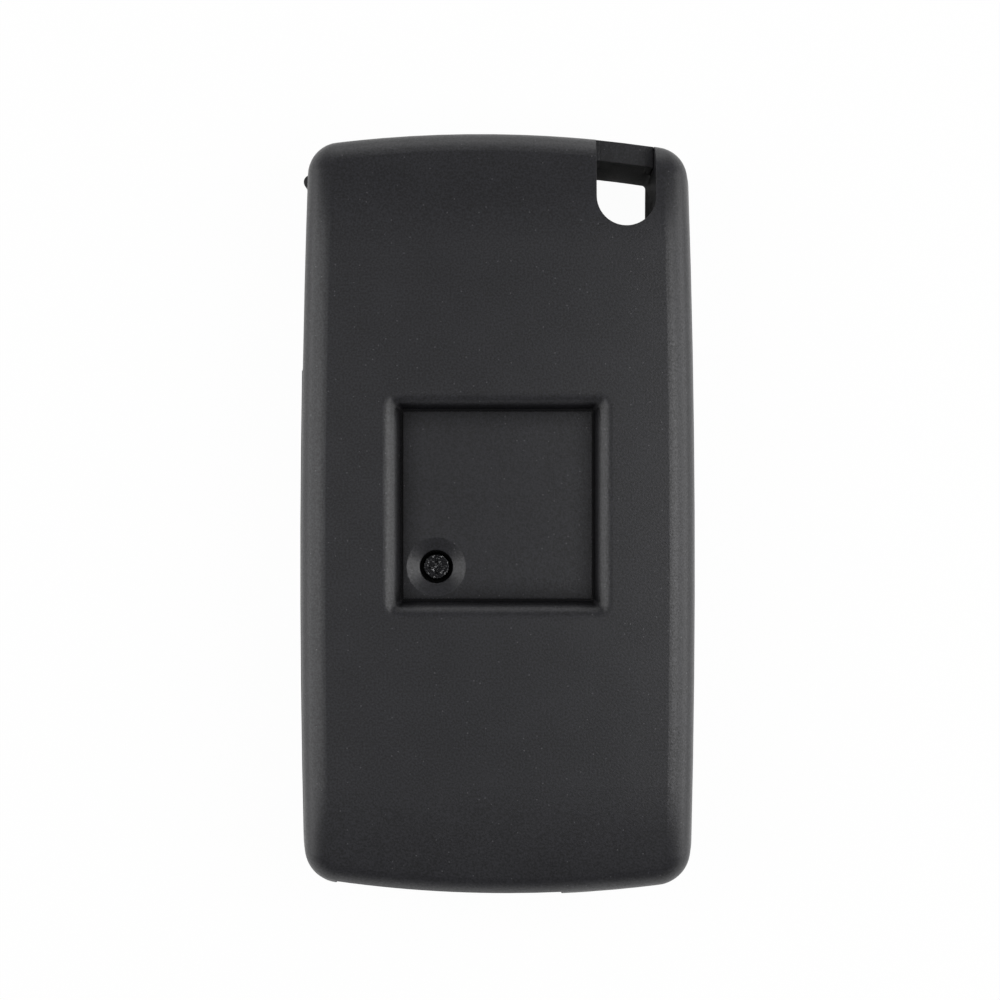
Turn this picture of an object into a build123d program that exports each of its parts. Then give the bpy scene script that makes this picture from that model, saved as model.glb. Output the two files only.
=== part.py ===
from build123d import *
import math
import os

os.makedirs("parts", exist_ok=True)

# The key lies on its front face: x to the right and y towards the keyring end, seen from behind

# Case outline at the parting plane: two bowed sides and two bowed ends
CASE_WIDTH = 39.05
CASE_LENGTH = 74.67
SIDE_BOW_R = 1100.0
SIDE_BOW_Y = -5.0
END_BOW_R = 115.0
RING_END_BOW_X = -1.7
FOOT_END_BOW_X = 0.9
CORNER_R = 3.7
FOOT_CORNER_R = 4.0

# Case depth and section
FRONT_DEPTH = 8.4
REAR_DEPTH = 7.6
FRONT_TAPER = 5.0
REAR_TAPER = 6.5
FRONT_FLAT_LENGTH = 56.0
REAR_FLAT_LENGTH = 52.0
END_DROP_R = 40.0
FRONT_EDGE_R = 2.2
REAR_EDGE_R = 2.5
WALL = 1.5
RIB_WALL = 1.0

# Tongue on the front cover's rim, which locates the rear cover
TONGUE_THICK = 0.6
TONGUE_HEIGHT = 0.8
TONGUE_GAP = 0.1

# Relief for prying the covers apart, on the rear cover's bottom edge
PRY_CENTRE_X = -4.7
PRY_WIDTH = 21.8
PRY_DEPTH = 0.8
PRY_LIFT = 1.2

# Badge recess in the rear face: leaning walls under a rounded lip, and a fine groove round its floor
RECESS_WIDTH = 18.6
RECESS_LENGTH = 18.5
RECESS_DEPTH = 1.3
RECESS_Y = 0.9
RECESS_WALL_LEAN = 30.0
RECESS_CORNER_R = 0.3
RECESS_LIP_R = 1.6
RECESS_FLOOR_THICK = 1.3
GROOVE_WIDTH = 0.25
GROOVE_DEPTH = 0.2

# Case screw, its dish and its bosses
SCREW_X = -5.88
SCREW_Y = -5.03
SCREW_HEAD_R = 1.35
SCREW_HEAD_HEIGHT = 0.9
SCREW_HEAD_EDGE_R = 0.3
SCREW_SHANK_R = 0.8
SCREW_TIP_R = 0.2
SCREW_LENGTH = 8.0
SCREW_GAP = 0.04
SCREW_WEB_THICK = 1.4
SCREW_HEAD_DEPTH = 1.15
CROSS_LENGTH = 1.5
CROSS_WIDTH = 0.36
CROSS_DEPTH = 0.5
DISH_R = 2.83
DISH_DEPTH = 0.5
HEAD_HOLE_R = 1.6
FRONT_BOSS_R = 2.0
REAR_BOSS_R = 2.65
BOSS_GAP = 0.05

# Keyring slot and the bar that closes it in the front cover
RING_SLOT_WIDTH = 5.67
RING_FROM_SIDE = 7.205
RING_ARC_FROM_END = 6.905
RING_WALL = 1.2
RING_HOLE_CORNER_R = 0.4
RING_BAR_THICK = 2.45
RING_BAR_RISE = 4.1
RING_BAR_LEFT_GAP = 0.12
RING_BAR_RIGHT_GAP = 0.5
RING_BAR_EDGE = 0.3

# Flip mechanism: the drum turns about an upright axis near the left end of the keyring edge
DRUM_FROM_SIDE = 9.125
DRUM_FROM_END = 10.335
DRUM_R = 8.0
NECK_R = 7.0
BORE_R = 5.5
LOWER_NECK_HEIGHT = 3.7
UPPER_NECK_HEIGHT = 0.9
ARM_LENGTH = 12.5
ARM_OUTER = 8.9
ARM_INNER = 0.5
ARM_CHEEK = 0.9
ARM_EDGE_R = 0.5
ARM_SINK = 0.1
EAR_REACH = 10.25
EAR_R = 0.7
EAR_ANGLE = 145.2
EAR_HEIGHT = 2.1
RUN_GAP = 0.3
BEARING_GAP = 0.08
BEARING_WALL = 1.0
HOUSING_WALL = 1.0
PAD_CORE_INNER_R = 3.4
PAD_CORE_OUTER_R = 6.3

# Blade, its tang in the arm and its pin
BLADE_WIDTH = 8.2
BLADE_THICK = 2.3
BLADE_FROM_END = 8.335
BLADE_LIFT = 0.4
BLADE_TOP_GAP = 0.5
BLADE_TIP_GAP = 2.5
BLADE_TIP_LENGTH = 4.5
BLADE_TIP_WIDTH = 3.4
BLADE_EDGE = 0.25
TANG_WIDTH = 5.6
TANG_LENGTH = 7.5
TANG_GAP = 0.05
PIN_R = 0.8
PIN_FROM_ARM_END = 4.0
PIN_GAP = 0.02
GROOVE_CUT_WIDTH = 1.7
GROOVE_CUT_DEPTH = 0.7
GROOVE_CUT_OFFSET = 1.5
GROOVE_CUT_RUNOUT = 3.0
BIT_DEPTHS = (0.9, 1.7, 0.5, 1.3, 0.9, 1.7, 1.3)
BIT_FLAT = 1.0
BIT_FIRST = 8.0
BIT_LAST = 13.9

# Release button, which slides in the drum's bore
RELEASE_R = 5.35
RELEASE_SINK = 0.15
RELEASE_FACE_THICK = 1.5
RELEASE_SKIRT_WALL = 0.85
RELEASE_HEIGHT = 6.0
RELEASE_TRAVEL = 1.8
RELEASE_HOLE_GAP = 0.15
RELEASE_DIMPLE_DEPTH = 0.35
LUG_COUNT = 4
LUG_FIRST_ANGLE = 45.0
LUG_REACH = 1.05
LUG_WIDTH = 2.0
LUG_GAP = 0.1
LUG_CHAMBER_HEIGHT = 2.4

# Spring and its anchor
SPRING_R = 3.55
SPRING_WIRE_R = 0.45
SPRING_TURNS = 4.5
CAP_R = 5.3
CAP_THICK = 0.9
CAP_HUB_R = 2.5
CAP_HUB_HEIGHT = 2.6
CAP_SLOT_WIDTH = 1.1
CAP_KEY_SIDE = 3.9
CAP_KEY_HEIGHT = 1.2
CAP_KEY_GAP = 0.05

# Buttons in the front face, their switches and the silicone mat between them
BUTTON_NAMES = ("lock", "boot", "unlock")
BUTTON_X = 1.2
BUTTON_FROM_END = 22.135
BUTTON_PITCH = 13.4
BUTTON_WIDTH = 11.4
BUTTON_LENGTH = 7.4
BUTTON_CORNER_R = 2.2
BUTTON_EDGE_R = 0.5
BUTTON_SINK = 0.12
BUTTON_GAP = 0.15
BUTTON_TRAVEL = 0.45
FLANGE_REACH = 0.6
FLANGE_THICK = 0.6
FLANGE_GAP = 0.1
STEM_R = 1.4
PANEL_DEPTH = 0.35
PANEL_MARGIN = 1.9
MAT_WALL = 1.0
MAT_GAP = 0.3
MAT_WEB_THICK = 0.5
MAT_WEB_GAP = 0.15
MAT_STEM_GAP = 0.2
MAT_COLLAR_THICK = 0.6
MAT_BOSS_GAP = 0.08

# Circuit board and what it carries
BOARD_LIFT = 3.4
BOARD_THICK = 0.8
BOARD_SIDE_GAP = 0.7
BOARD_BAY_GAP = 0.3
BOARD_HOLE_GAP = 0.3
BOARD_FROM_END = 16.035
POST_R = 1.2
POST_PIN_R = 0.6
POST_PIN_HEIGHT = 0.9
POST_PIN_GAP = 0.05
POST_LEFT_X = -5.0
POST_FROM_SIDE = 5.525
POST_FROM_TOP = 3.8
POST_FROM_END = 6.335
POST_FROM_BUTTON = 8.9
SWITCH_SIDE = 4.4
SWITCH_HEIGHT = 0.9
PLUNGER_R = 1.1
PLUNGER_LENGTH = 0.8
PLUNGER_GAP = 0.05
PLUNGER_PROUD = 0.42

CHIP_X = 5.4
CHIP_FROM_TOP = 18.3
CHIP_WIDTH = 5.4
CHIP_LENGTH = 9.0
CHIP_HEIGHT = 1.3
CHIP_LEAD_COUNT = 7
CHIP_LEAD_WIDTH = 0.5
CHIP_LEAD_REACH = 1.0
CHIP_LEAD_THICK = 0.2
CHIP_STANDOFF = 0.1

COIL_FROM_SIDE = 10.525
COIL_FROM_TOP = 7.1
COIL_LENGTH = 11.8
COIL_WIDTH = 3.6
COIL_HEIGHT = 2.8
COIL_FLANGE = 1.1
COIL_WAIST = 0.4

CRYSTAL_FROM_SIDE = 5.925
CRYSTAL_FROM_TOP = 14.7
CRYSTAL_WIDTH = 3.2
CRYSTAL_LENGTH = 5.0
CRYSTAL_HEIGHT = 1.1
CRYSTAL_CORNER_R = 0.5

CAPACITOR_SIZE = (1.6, 0.9, 0.8)
CAPACITOR_FROM_CHIP = ((-7.9, 6.0), (-7.9, 3.6), (-7.9, 1.2), (6.1, -2.0), (9.0, -2.0), (-5.4, -13.2))

CELL_FROM_SIDE = 11.525
CELL_FROM_END = 15.335
CELL_R = 8.0
CELL_HEIGHT = 2.0
CELL_LIFT = 0.7
CELL_RIM_STEP = 0.5
CELL_EDGE_R = 0.3
CONTACT_THICK = 0.2
CONTACT_WIDTH = 5.0
CONTACT_FOOT = 1.4
CONTACT_SIDE_GAP = 0.3
LEAF_LENGTH = 9.0
LEAF_RISE = 1.2

# Ribs that stiffen the covers beside the folded blade
BAY_RIB_COUNT = 6
BAY_RIB_PITCH = 6.6
BAY_RIB_FROM_ARM = 4.0

# Heights and places that follow from the sizes
FLOOR_Z = WALL
PARTING_Z = FRONT_DEPTH
REAR_Z = FRONT_DEPTH + REAR_DEPTH
ROOF_Z = REAR_Z - WALL
HALF_WIDTH = CASE_WIDTH / 2
HALF_LENGTH = CASE_LENGTH / 2
REACH = CASE_LENGTH

DRUM_X = -HALF_WIDTH + DRUM_FROM_SIDE
DRUM_Y = HALF_LENGTH - DRUM_FROM_END
BLADE_Z0 = PARTING_Z + BLADE_LIFT
BLADE_Z1 = BLADE_Z0 + BLADE_THICK
BLADE_MID_Z = (BLADE_Z0 + BLADE_Z1) / 2
ARM_Z0 = BLADE_Z0 - ARM_CHEEK
ARM_Z1 = BLADE_Z1 + ARM_CHEEK
NECK_Z0 = ARM_Z0 - LOWER_NECK_HEIGHT
NECK_Z1 = ARM_Z1 + UPPER_NECK_HEIGHT
PAD_Z = NECK_Z1 + BEARING_GAP
ARM_END_Y = DRUM_Y - ARM_LENGTH
BAY_X = DRUM_X + ARM_INNER + RUN_GAP
OPEN_X = DRUM_X + ARM_OUTER + RUN_GAP
BLADE_X = DRUM_X - BLADE_WIDTH / 2
BLADE_TIP_Y = BLADE_FROM_END - HALF_LENGTH
BIT_SPAN = ARM_END_Y - BLADE_TIP_Y - BIT_FIRST - BIT_LAST
BEARING_R = NECK_R + BEARING_GAP
GUIDE_R = BEARING_R + BEARING_WALL
HOUSING_R = EAR_REACH + RUN_GAP
EAR_Z0 = BLADE_MID_Z - EAR_HEIGHT / 2
EAR_Z1 = EAR_Z0 + EAR_HEIGHT

RING_X = HALF_WIDTH - RING_FROM_SIDE
RING_ARC_Y = HALF_LENGTH - RING_ARC_FROM_END
RING_BAR_Z = PARTING_Z + RING_BAR_RISE

RECESS_Z = REAR_Z - RECESS_DEPTH
RECESS_SLOPE = RECESS_DEPTH * math.tan(math.radians(RECESS_WALL_LEAN))
RECESS_LIP = RECESS_LIP_R * math.tan(math.radians((90 - RECESS_WALL_LEAN) / 2))
HEAD_TOP_Z = RECESS_Z - SCREW_HEAD_DEPTH
SCREW_SEAT_Z = HEAD_TOP_Z - SCREW_HEAD_HEIGHT
BOSS_Z = SCREW_SEAT_Z - SCREW_WEB_THICK

LUG_R = RELEASE_R + LUG_REACH
LUG_Z0 = FLOOR_Z + LUG_GAP
LUG_CHAMBER_Z1 = FLOOR_Z + LUG_CHAMBER_HEIGHT
RELEASE_Z1 = RELEASE_SINK + RELEASE_HEIGHT
KEYWAY_Z1 = RELEASE_Z1 + RELEASE_TRAVEL + RUN_GAP

BOARD_Z0 = FLOOR_Z + BOARD_LIFT
BOARD_Z1 = BOARD_Z0 + BOARD_THICK
SWITCH_Z0 = BOARD_Z0 - SWITCH_HEIGHT
PLUNGER_Z0 = SWITCH_Z0 - PLUNGER_PROUD
FLANGE_Z0 = FLOOR_Z + FLANGE_GAP
FLANGE_Z1 = FLANGE_Z0 + FLANGE_THICK
WEB_Z0 = FLANGE_Z1 + BUTTON_TRAVEL + MAT_WEB_GAP
CELL_Z0 = BOARD_Z1 + CELL_LIFT
CELL_Z1 = CELL_Z0 + CELL_HEIGHT

BUTTON_FIRST_Y = HALF_LENGTH - BUTTON_FROM_END
BOARD_TOP_Y = HALF_LENGTH - BOARD_FROM_END
CHIP_Y = BOARD_TOP_Y - CHIP_FROM_TOP
COIL_X = HALF_WIDTH - COIL_FROM_SIDE
COIL_Y = BOARD_TOP_Y - COIL_FROM_TOP
CRYSTAL_X = HALF_WIDTH - CRYSTAL_FROM_SIDE
CRYSTAL_Y = BOARD_TOP_Y - CRYSTAL_FROM_TOP
CELL_X = HALF_WIDTH - CELL_FROM_SIDE
CELL_Y = CELL_FROM_END - HALF_LENGTH


def block(x0, x1, y0, y1, z0, z1):
    """Box between two opposite corners."""
    centre = Pos((x0 + x1) / 2, (y0 + y1) / 2, (z0 + z1) / 2)
    return centre * Box(x1 - x0, y1 - y0, z1 - z0)


def post(x, y, radius, z0, z1):
    """Upright round bar."""
    return Pos(x, y, (z0 + z1) / 2) * Cylinder(radius, z1 - z0)


def plate(face, z0, z1):
    """Flat face given a thickness between two heights."""
    return extrude(Pos(0, 0, z0) * face, amount=z1 - z0)


def button_places():
    """Centre of each button and switch, from the keyring end down."""
    return [(BUTTON_X, BUTTON_FIRST_Y - i * BUTTON_PITCH) for i in range(len(BUTTON_NAMES))]


def post_places():
    """Centre of each post under the board: three near its corners and one under the buttons."""
    right_x = HALF_WIDTH - POST_FROM_SIDE
    low_y = POST_FROM_END - HALF_LENGTH
    mid_y = button_places()[-1][1] - POST_FROM_BUTTON
    top_y = BOARD_TOP_Y - POST_FROM_TOP
    return [(right_x, top_y), (right_x, low_y), (POST_LEFT_X, low_y), (POST_LEFT_X, mid_y)]


def outline(inset=0.0):
    """Outline of the case at the parting plane, drawn in by a distance."""
    side_x = SIDE_BOW_R - HALF_WIDTH
    end_y = END_BOW_R - HALF_LENGTH
    face = Pos(side_x, SIDE_BOW_Y) * Circle(SIDE_BOW_R - inset)
    face &= Pos(-side_x, SIDE_BOW_Y) * Circle(SIDE_BOW_R - inset)
    face &= Pos(RING_END_BOW_X, -end_y) * Circle(END_BOW_R - inset)
    face &= Pos(FOOT_END_BOW_X, end_y) * Circle(END_BOW_R - inset)
    face = fillet(face.vertices().filter_by_position(Axis.Y, 0, REACH), CORNER_R - inset)
    return fillet(face.vertices().sort_by(Axis.Y)[:2], FOOT_CORNER_R - inset)


def cover_form(depth, taper, flat_length, inset):
    """Tapered body on the outline, whose face bends away towards both ends."""
    top = outline(inset + depth * math.tan(math.radians(taper)))
    body = loft([outline(inset), Pos(0, 0, depth) * top], ruled=True)
    drop_r = END_DROP_R - inset
    profile = Rectangle(flat_length, 2 * drop_r)
    for end in (-1, 1):
        profile += Pos(end * flat_length / 2, 0) * Circle(drop_r)
    profile = Plane.YZ * Pos(0, depth - END_DROP_R) * profile
    return body & extrude(profile, amount=HALF_WIDTH, both=True)


def round_face(form, depth, radius):
    """Round the edge between a cover's face and its sides."""
    edges = form.edges().filter_by(Axis.X, reverse=True)
    rim = [edge for edge in edges if edge.center().Z > depth / 2]
    return fillet(rim, radius)


def rear_form(inset=0.0):
    """Body of the rear cover with a sharp edge, or its cavity, on the parting plane."""
    return cover_form(REAR_DEPTH, REAR_TAPER, REAR_FLAT_LENGTH, inset)


def front_form(inset=0.0):
    """Body of the front cover with a sharp edge, or its cavity, face up on the parting plane."""
    return cover_form(FRONT_DEPTH, FRONT_TAPER, FRONT_FLAT_LENGTH, inset)


def rear_place(form):
    """Stand a form on the parting plane."""
    return Pos(0, 0, PARTING_Z) * form


def front_place(form):
    """Hang a form under the parting plane."""
    return Pos(0, 0, PARTING_Z) * mirror(form, about=Plane.XY)


def case_form(inset):
    """Body of the whole case with sharp edges, drawn in by a distance."""
    return rear_place(rear_form(inset)) + front_place(front_form(inset))


def ring_slot(grow=0.0):
    """Plan of the keyring slot: parallel sides, a round lower end and an open top."""
    half = RING_SLOT_WIDTH / 2 + grow
    face = Pos(RING_X, RING_ARC_Y) * Circle(half)
    return face + Pos(RING_X, RING_ARC_Y + REACH / 2) * Rectangle(2 * half, REACH)


def arm_room():
    """Room that the drum, the ear and the arm need in both covers as the blade swings out."""
    z0 = ARM_Z0 - RUN_GAP
    z1 = ARM_Z1 + RUN_GAP
    room = post(DRUM_X, DRUM_Y, DRUM_R + RUN_GAP, z0, z1)
    room += block(-REACH, BAY_X, ARM_END_Y - RUN_GAP, DRUM_Y, z0, z1)
    room += block(-REACH, OPEN_X, DRUM_Y, REACH, z0, z1)
    room += post(DRUM_X, DRUM_Y, EAR_REACH + RUN_GAP, EAR_Z0 - RUN_GAP, EAR_Z1 + RUN_GAP)
    return room


def blade_room():
    """Bay of the folded blade, open at the left side of the case."""
    y0 = BLADE_TIP_Y - BLADE_TIP_GAP
    return block(-REACH, BAY_X, y0, ARM_END_Y, PARTING_Z, BLADE_Z1 + BLADE_TOP_GAP)


def pry_relief():
    """What is taken off the rear cover's bottom edge, so that a blade can part the covers."""
    x0 = PRY_CENTRE_X - PRY_WIDTH / 2
    x1 = PRY_CENTRE_X + PRY_WIDTH / 2
    z0 = PARTING_Z + PRY_LIFT
    return block(x0, x1, -REACH, 0, z0, REAR_Z) - plate(outline(PRY_DEPTH), z0, REAR_Z)


def bay_ribs(z0, z1):
    """Cross ribs between the side wall and the bay wall."""
    ribs = Part()
    for i in range(BAY_RIB_COUNT):
        y = ARM_END_Y - BAY_RIB_FROM_ARM - i * BAY_RIB_PITCH
        ribs += block(-HALF_WIDTH, BAY_X, y - RIB_WALL / 2, y + RIB_WALL / 2, z0, z1)
    return ribs


def rear_face():
    """Rear cover's outside, with the badge recess and its rounded lip."""
    form = rear_place(round_face(rear_form(), REAR_DEPTH, REAR_EDGE_R))
    half_x = RECESS_WIDTH / 2 + RECESS_SLOPE
    half_y = RECESS_LENGTH / 2 + RECESS_SLOPE
    low = RectangleRounded(RECESS_WIDTH, RECESS_LENGTH, RECESS_CORNER_R)
    high = RectangleRounded(2 * half_x, 2 * half_y, RECESS_CORNER_R)
    form -= loft([Pos(0, RECESS_Y, RECESS_Z) * low, Pos(0, RECESS_Y, REAR_Z) * high], ruled=True)
    top = form.edges().filter_by_position(Axis.Z, REAR_Z, REAR_Z)
    lip = top.filter_by_position(Axis.Y, RECESS_Y - half_y, RECESS_Y + half_y)
    lip = [edge for edge in lip if abs(edge.center().X) <= half_x]
    return fillet(lip, RECESS_LIP_R)


def rear_inside():
    """Walls, bosses and bearings that stand on the inside of the rear cover."""
    pan_x = RECESS_WIDTH / 2 + RECESS_SLOPE + RECESS_LIP
    pan_y = RECESS_LENGTH / 2 + RECESS_SLOPE + RECESS_LIP
    pan_z = RECESS_Z - RECESS_FLOOR_THICK
    inside = block(-pan_x, pan_x, RECESS_Y - pan_y, RECESS_Y + pan_y, pan_z, ROOF_Z)
    inside += post(SCREW_X, SCREW_Y, REAR_BOSS_R, BOSS_Z, ROOF_Z)
    wall_end = DRUM_Y - HOUSING_R
    inside += block(BAY_X, BAY_X + RIB_WALL, -HALF_LENGTH, wall_end, PARTING_Z, ROOF_Z)
    housing = post(DRUM_X, DRUM_Y, HOUSING_R + HOUSING_WALL, PARTING_Z, ROOF_Z)
    housing -= post(DRUM_X, DRUM_Y, HOUSING_R, PARTING_Z, ROOF_Z)
    inside += housing & block(BAY_X, REACH, -REACH, REACH, PARTING_Z, ROOF_Z)
    inside += post(DRUM_X, DRUM_Y, GUIDE_R, ARM_Z1 + RUN_GAP, ROOF_Z)
    inside += plate(ring_slot(RING_WALL), PARTING_Z, ROOF_Z)
    inside += bay_ribs(BLADE_Z1 + BLADE_TOP_GAP, ROOF_Z)
    return inside


def screw_bore():
    """Dish, head hole and clearance hole for the case screw."""
    dish = Pos(SCREW_X, SCREW_Y, RECESS_Z - DISH_DEPTH / 2) * Cone(HEAD_HOLE_R, DISH_R, DISH_DEPTH)
    hole = post(SCREW_X, SCREW_Y, HEAD_HOLE_R, SCREW_SEAT_Z, RECESS_Z)
    return dish + hole + post(SCREW_X, SCREW_Y, SCREW_SHANK_R + BEARING_GAP, BOSS_Z, SCREW_SEAT_Z)


def rear_bearing():
    """Bore for the drum's upper neck, with the cored ring and the square socket above it."""
    bore = post(DRUM_X, DRUM_Y, BEARING_R, ARM_Z1 + RUN_GAP, PAD_Z)
    core = post(DRUM_X, DRUM_Y, PAD_CORE_OUTER_R, PAD_Z, ROOF_Z)
    core -= post(DRUM_X, DRUM_Y, PAD_CORE_INNER_R, PAD_Z, ROOF_Z)
    side = CAP_KEY_SIDE + 2 * CAP_KEY_GAP
    height = CAP_KEY_HEIGHT + CAP_KEY_GAP
    socket = Pos(DRUM_X, DRUM_Y, PAD_Z + height / 2) * Box(side, side, height)
    return bore + core + socket


def recess_groove():
    """Fine groove round the floor of the badge recess."""
    outer = Rectangle(RECESS_WIDTH, RECESS_LENGTH)
    inner = Rectangle(RECESS_WIDTH - 2 * GROOVE_WIDTH, RECESS_LENGTH - 2 * GROOVE_WIDTH)
    return plate(Pos(0, RECESS_Y) * (outer - inner), RECESS_Z - GROOVE_DEPTH, RECESS_Z)


def tongue_room():
    """Rebate in the rear cover that the front cover's tongue enters."""
    band = outline(WALL - TONGUE_THICK - TONGUE_GAP) - outline(WALL + 2 * TONGUE_GAP)
    return plate(band, PARTING_Z, PARTING_Z + TONGUE_HEIGHT + TONGUE_GAP)


def rear_cover():
    """Rear shell: the side that the photograph shows."""
    face = rear_face()
    cover = face - rear_place(rear_form(WALL))
    cover += rear_inside() & face
    cover -= arm_room()
    cover -= blade_room()
    cover -= rear_bearing()
    cover -= screw_bore()
    cover -= recess_groove()
    cover -= plate(ring_slot(), PARTING_Z, REAR_Z)
    cover -= tongue_room()
    return cover - pry_relief()


def tongue():
    """Tongue on the front cover's rim, left out beside the blade bay and the keyring slot."""
    band = plate(outline(WALL - TONGUE_THICK) - outline(WALL), PARTING_Z, PARTING_Z + TONGUE_HEIGHT)
    z1 = PARTING_Z + TONGUE_HEIGHT
    band -= block(-REACH, BAY_X + RIB_WALL + RUN_GAP, -REACH, REACH, PARTING_Z, z1)
    band -= plate(ring_slot(RING_WALL + RUN_GAP), PARTING_Z, z1)
    return band


def front_inside():
    """Walls, ribs and the drum's guide that stand on the inside of the front cover."""
    inside = post(DRUM_X, DRUM_Y, GUIDE_R, FLOOR_Z, ARM_Z0 - RUN_GAP)
    wall_end = DRUM_Y - (BEARING_R + GUIDE_R) / 2
    inside += block(BAY_X, BAY_X + RIB_WALL, -HALF_LENGTH, wall_end, FLOOR_Z, PARTING_Z)
    inside += bay_ribs(FLOOR_Z, PARTING_Z)
    inside += plate(ring_slot(RING_WALL), FLOOR_Z, PARTING_Z)
    return inside


def release_bore():
    """Stepped bore of the release button: its hole, the lugs' chamber and the neck's bearing."""
    bore = post(DRUM_X, DRUM_Y, RELEASE_R + RELEASE_HOLE_GAP, 0, FLOOR_Z)
    bore += post(DRUM_X, DRUM_Y, LUG_R + RELEASE_HOLE_GAP, FLOOR_Z, LUG_CHAMBER_Z1)
    return bore + post(DRUM_X, DRUM_Y, BEARING_R, LUG_CHAMBER_Z1, ARM_Z0)


def button_openings():
    """Shallow panel in the front face and one opening for each button."""
    places = button_places()
    span = places[0][1] - places[-1][1]
    width = BUTTON_WIDTH + 2 * PANEL_MARGIN
    length = span + BUTTON_LENGTH + 2 * PANEL_MARGIN
    panel = RectangleRounded(width, length, BUTTON_CORNER_R + PANEL_MARGIN)
    cut = plate(Pos(BUTTON_X, places[0][1] - span / 2) * panel, 0, PANEL_DEPTH)
    size = (BUTTON_WIDTH + 2 * BUTTON_GAP, BUTTON_LENGTH + 2 * BUTTON_GAP)
    for x, y in places:
        cut += plate(Pos(x, y) * RectangleRounded(*size, BUTTON_CORNER_R + BUTTON_GAP), 0, FLOOR_Z)
    return cut


def ring_hole():
    """Hole under the keyring bar in the front cover, with eased upper corners."""
    face = ring_slot() & outline(RING_BAR_THICK)
    top = face.vertices().filter_by_position(Axis.Y, RING_ARC_Y + RING_SLOT_WIDTH / 2, REACH)
    return plate(fillet(top, RING_HOLE_CORNER_R), 0, PARTING_Z)


def ring_bar():
    """Part of the keyring bar that stands up into the rear cover's slot."""
    x0 = RING_X - RING_SLOT_WIDTH / 2 + RING_BAR_LEFT_GAP
    x1 = RING_X + RING_SLOT_WIDTH / 2 - RING_BAR_RIGHT_GAP
    bar = block(x0, x1, RING_ARC_Y, REACH, PARTING_Z, RING_BAR_Z)
    sides = bar.edges().filter_by(Axis.Y).group_by(Axis.Z)[-1]
    bar = chamfer(sides, RING_BAR_EDGE) & rear_place(rear_form())
    return bar - plate(outline(RING_BAR_THICK), PARTING_Z, RING_BAR_Z)


def front_cover():
    """Front shell, with the keyring bar, the button openings and the board's posts."""
    face = front_place(round_face(front_form(), FRONT_DEPTH, FRONT_EDGE_R))
    cover = face - front_place(front_form(WALL))
    cover += front_inside() & face
    cover += post(SCREW_X, SCREW_Y, FRONT_BOSS_R, FLOOR_Z, BOSS_Z - BOSS_GAP)
    cover += tongue()
    for x, y in post_places():
        cover += post(x, y, POST_R, FLOOR_Z, BOARD_Z0)
        cover += post(x, y, POST_PIN_R, BOARD_Z0, BOARD_Z0 + POST_PIN_HEIGHT)
    cover -= ring_hole()
    cover += ring_bar()
    cover -= arm_room()
    cover -= release_bore()
    cover -= button_openings()
    return cover - post(SCREW_X, SCREW_Y, SCREW_SHANK_R + SCREW_GAP, SCREW_SEAT_Z - SCREW_LENGTH, BOSS_Z)


def case_screw():
    """Cross-recessed screw: a domed head on a plain shank."""
    head = post(SCREW_X, SCREW_Y, SCREW_HEAD_R, SCREW_SEAT_Z, HEAD_TOP_Z)
    head = fillet(head.edges().group_by(Axis.Z)[-1], SCREW_HEAD_EDGE_R)
    tip_z = SCREW_SEAT_Z - SCREW_LENGTH + SCREW_SHANK_R
    screw = head + post(SCREW_X, SCREW_Y, SCREW_SHANK_R, tip_z, SCREW_SEAT_Z)
    tip = Cone(SCREW_TIP_R, SCREW_SHANK_R, SCREW_SHANK_R)
    screw += Pos(SCREW_X, SCREW_Y, tip_z - SCREW_SHANK_R / 2) * tip
    centre = Pos(SCREW_X, SCREW_Y, HEAD_TOP_Z - CROSS_DEPTH / 2)
    for angle in (0, 90):
        screw -= centre * Rot(0, 0, angle) * Box(CROSS_LENGTH, CROSS_WIDTH, CROSS_DEPTH)
    return screw


def blade_carrier():
    """Drum with its two necks, the arm that takes the blade's tang, and the fin with its ear."""
    carrier = post(DRUM_X, DRUM_Y, DRUM_R, ARM_Z0, ARM_Z1)
    x0 = DRUM_X - ARM_OUTER
    x1 = DRUM_X + ARM_INNER
    arm = block(x0, x1, ARM_END_Y, DRUM_Y, ARM_Z0, ARM_Z1)
    arm = fillet(arm.edges().filter_by(Axis.Z), ARM_EDGE_R)
    fin = post(DRUM_X, DRUM_Y, EAR_REACH, EAR_Z0, EAR_Z1) & block(-REACH, DRUM_X, DRUM_Y, REACH, EAR_Z0, EAR_Z1)
    carrier += (arm + fin) & case_form(ARM_SINK)
    ear_x = DRUM_X + (EAR_REACH - EAR_R) * math.cos(math.radians(EAR_ANGLE))
    ear_y = DRUM_Y + (EAR_REACH - EAR_R) * math.sin(math.radians(EAR_ANGLE))
    carrier += post(ear_x, ear_y, EAR_R, EAR_Z0, EAR_Z1)
    carrier += post(DRUM_X, DRUM_Y, NECK_R, NECK_Z0, NECK_Z1)
    carrier -= post(DRUM_X, DRUM_Y, BORE_R, NECK_Z0, NECK_Z1)
    for i in range(LUG_COUNT):
        carrier -= lug(i, LUG_GAP, NECK_Z0, KEYWAY_Z1)
    tang_x = TANG_WIDTH / 2 + TANG_GAP
    tang_y = ARM_END_Y + TANG_LENGTH + TANG_GAP
    z0 = BLADE_Z0 - PIN_GAP
    carrier -= block(BLADE_X - tang_x, BLADE_X + tang_x, ARM_END_Y, tang_y, z0, BLADE_Z1 + PIN_GAP)
    return carrier - post(BLADE_X, ARM_END_Y + PIN_FROM_ARM_END, PIN_R + PIN_GAP, ARM_Z0, ARM_Z1)


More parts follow.
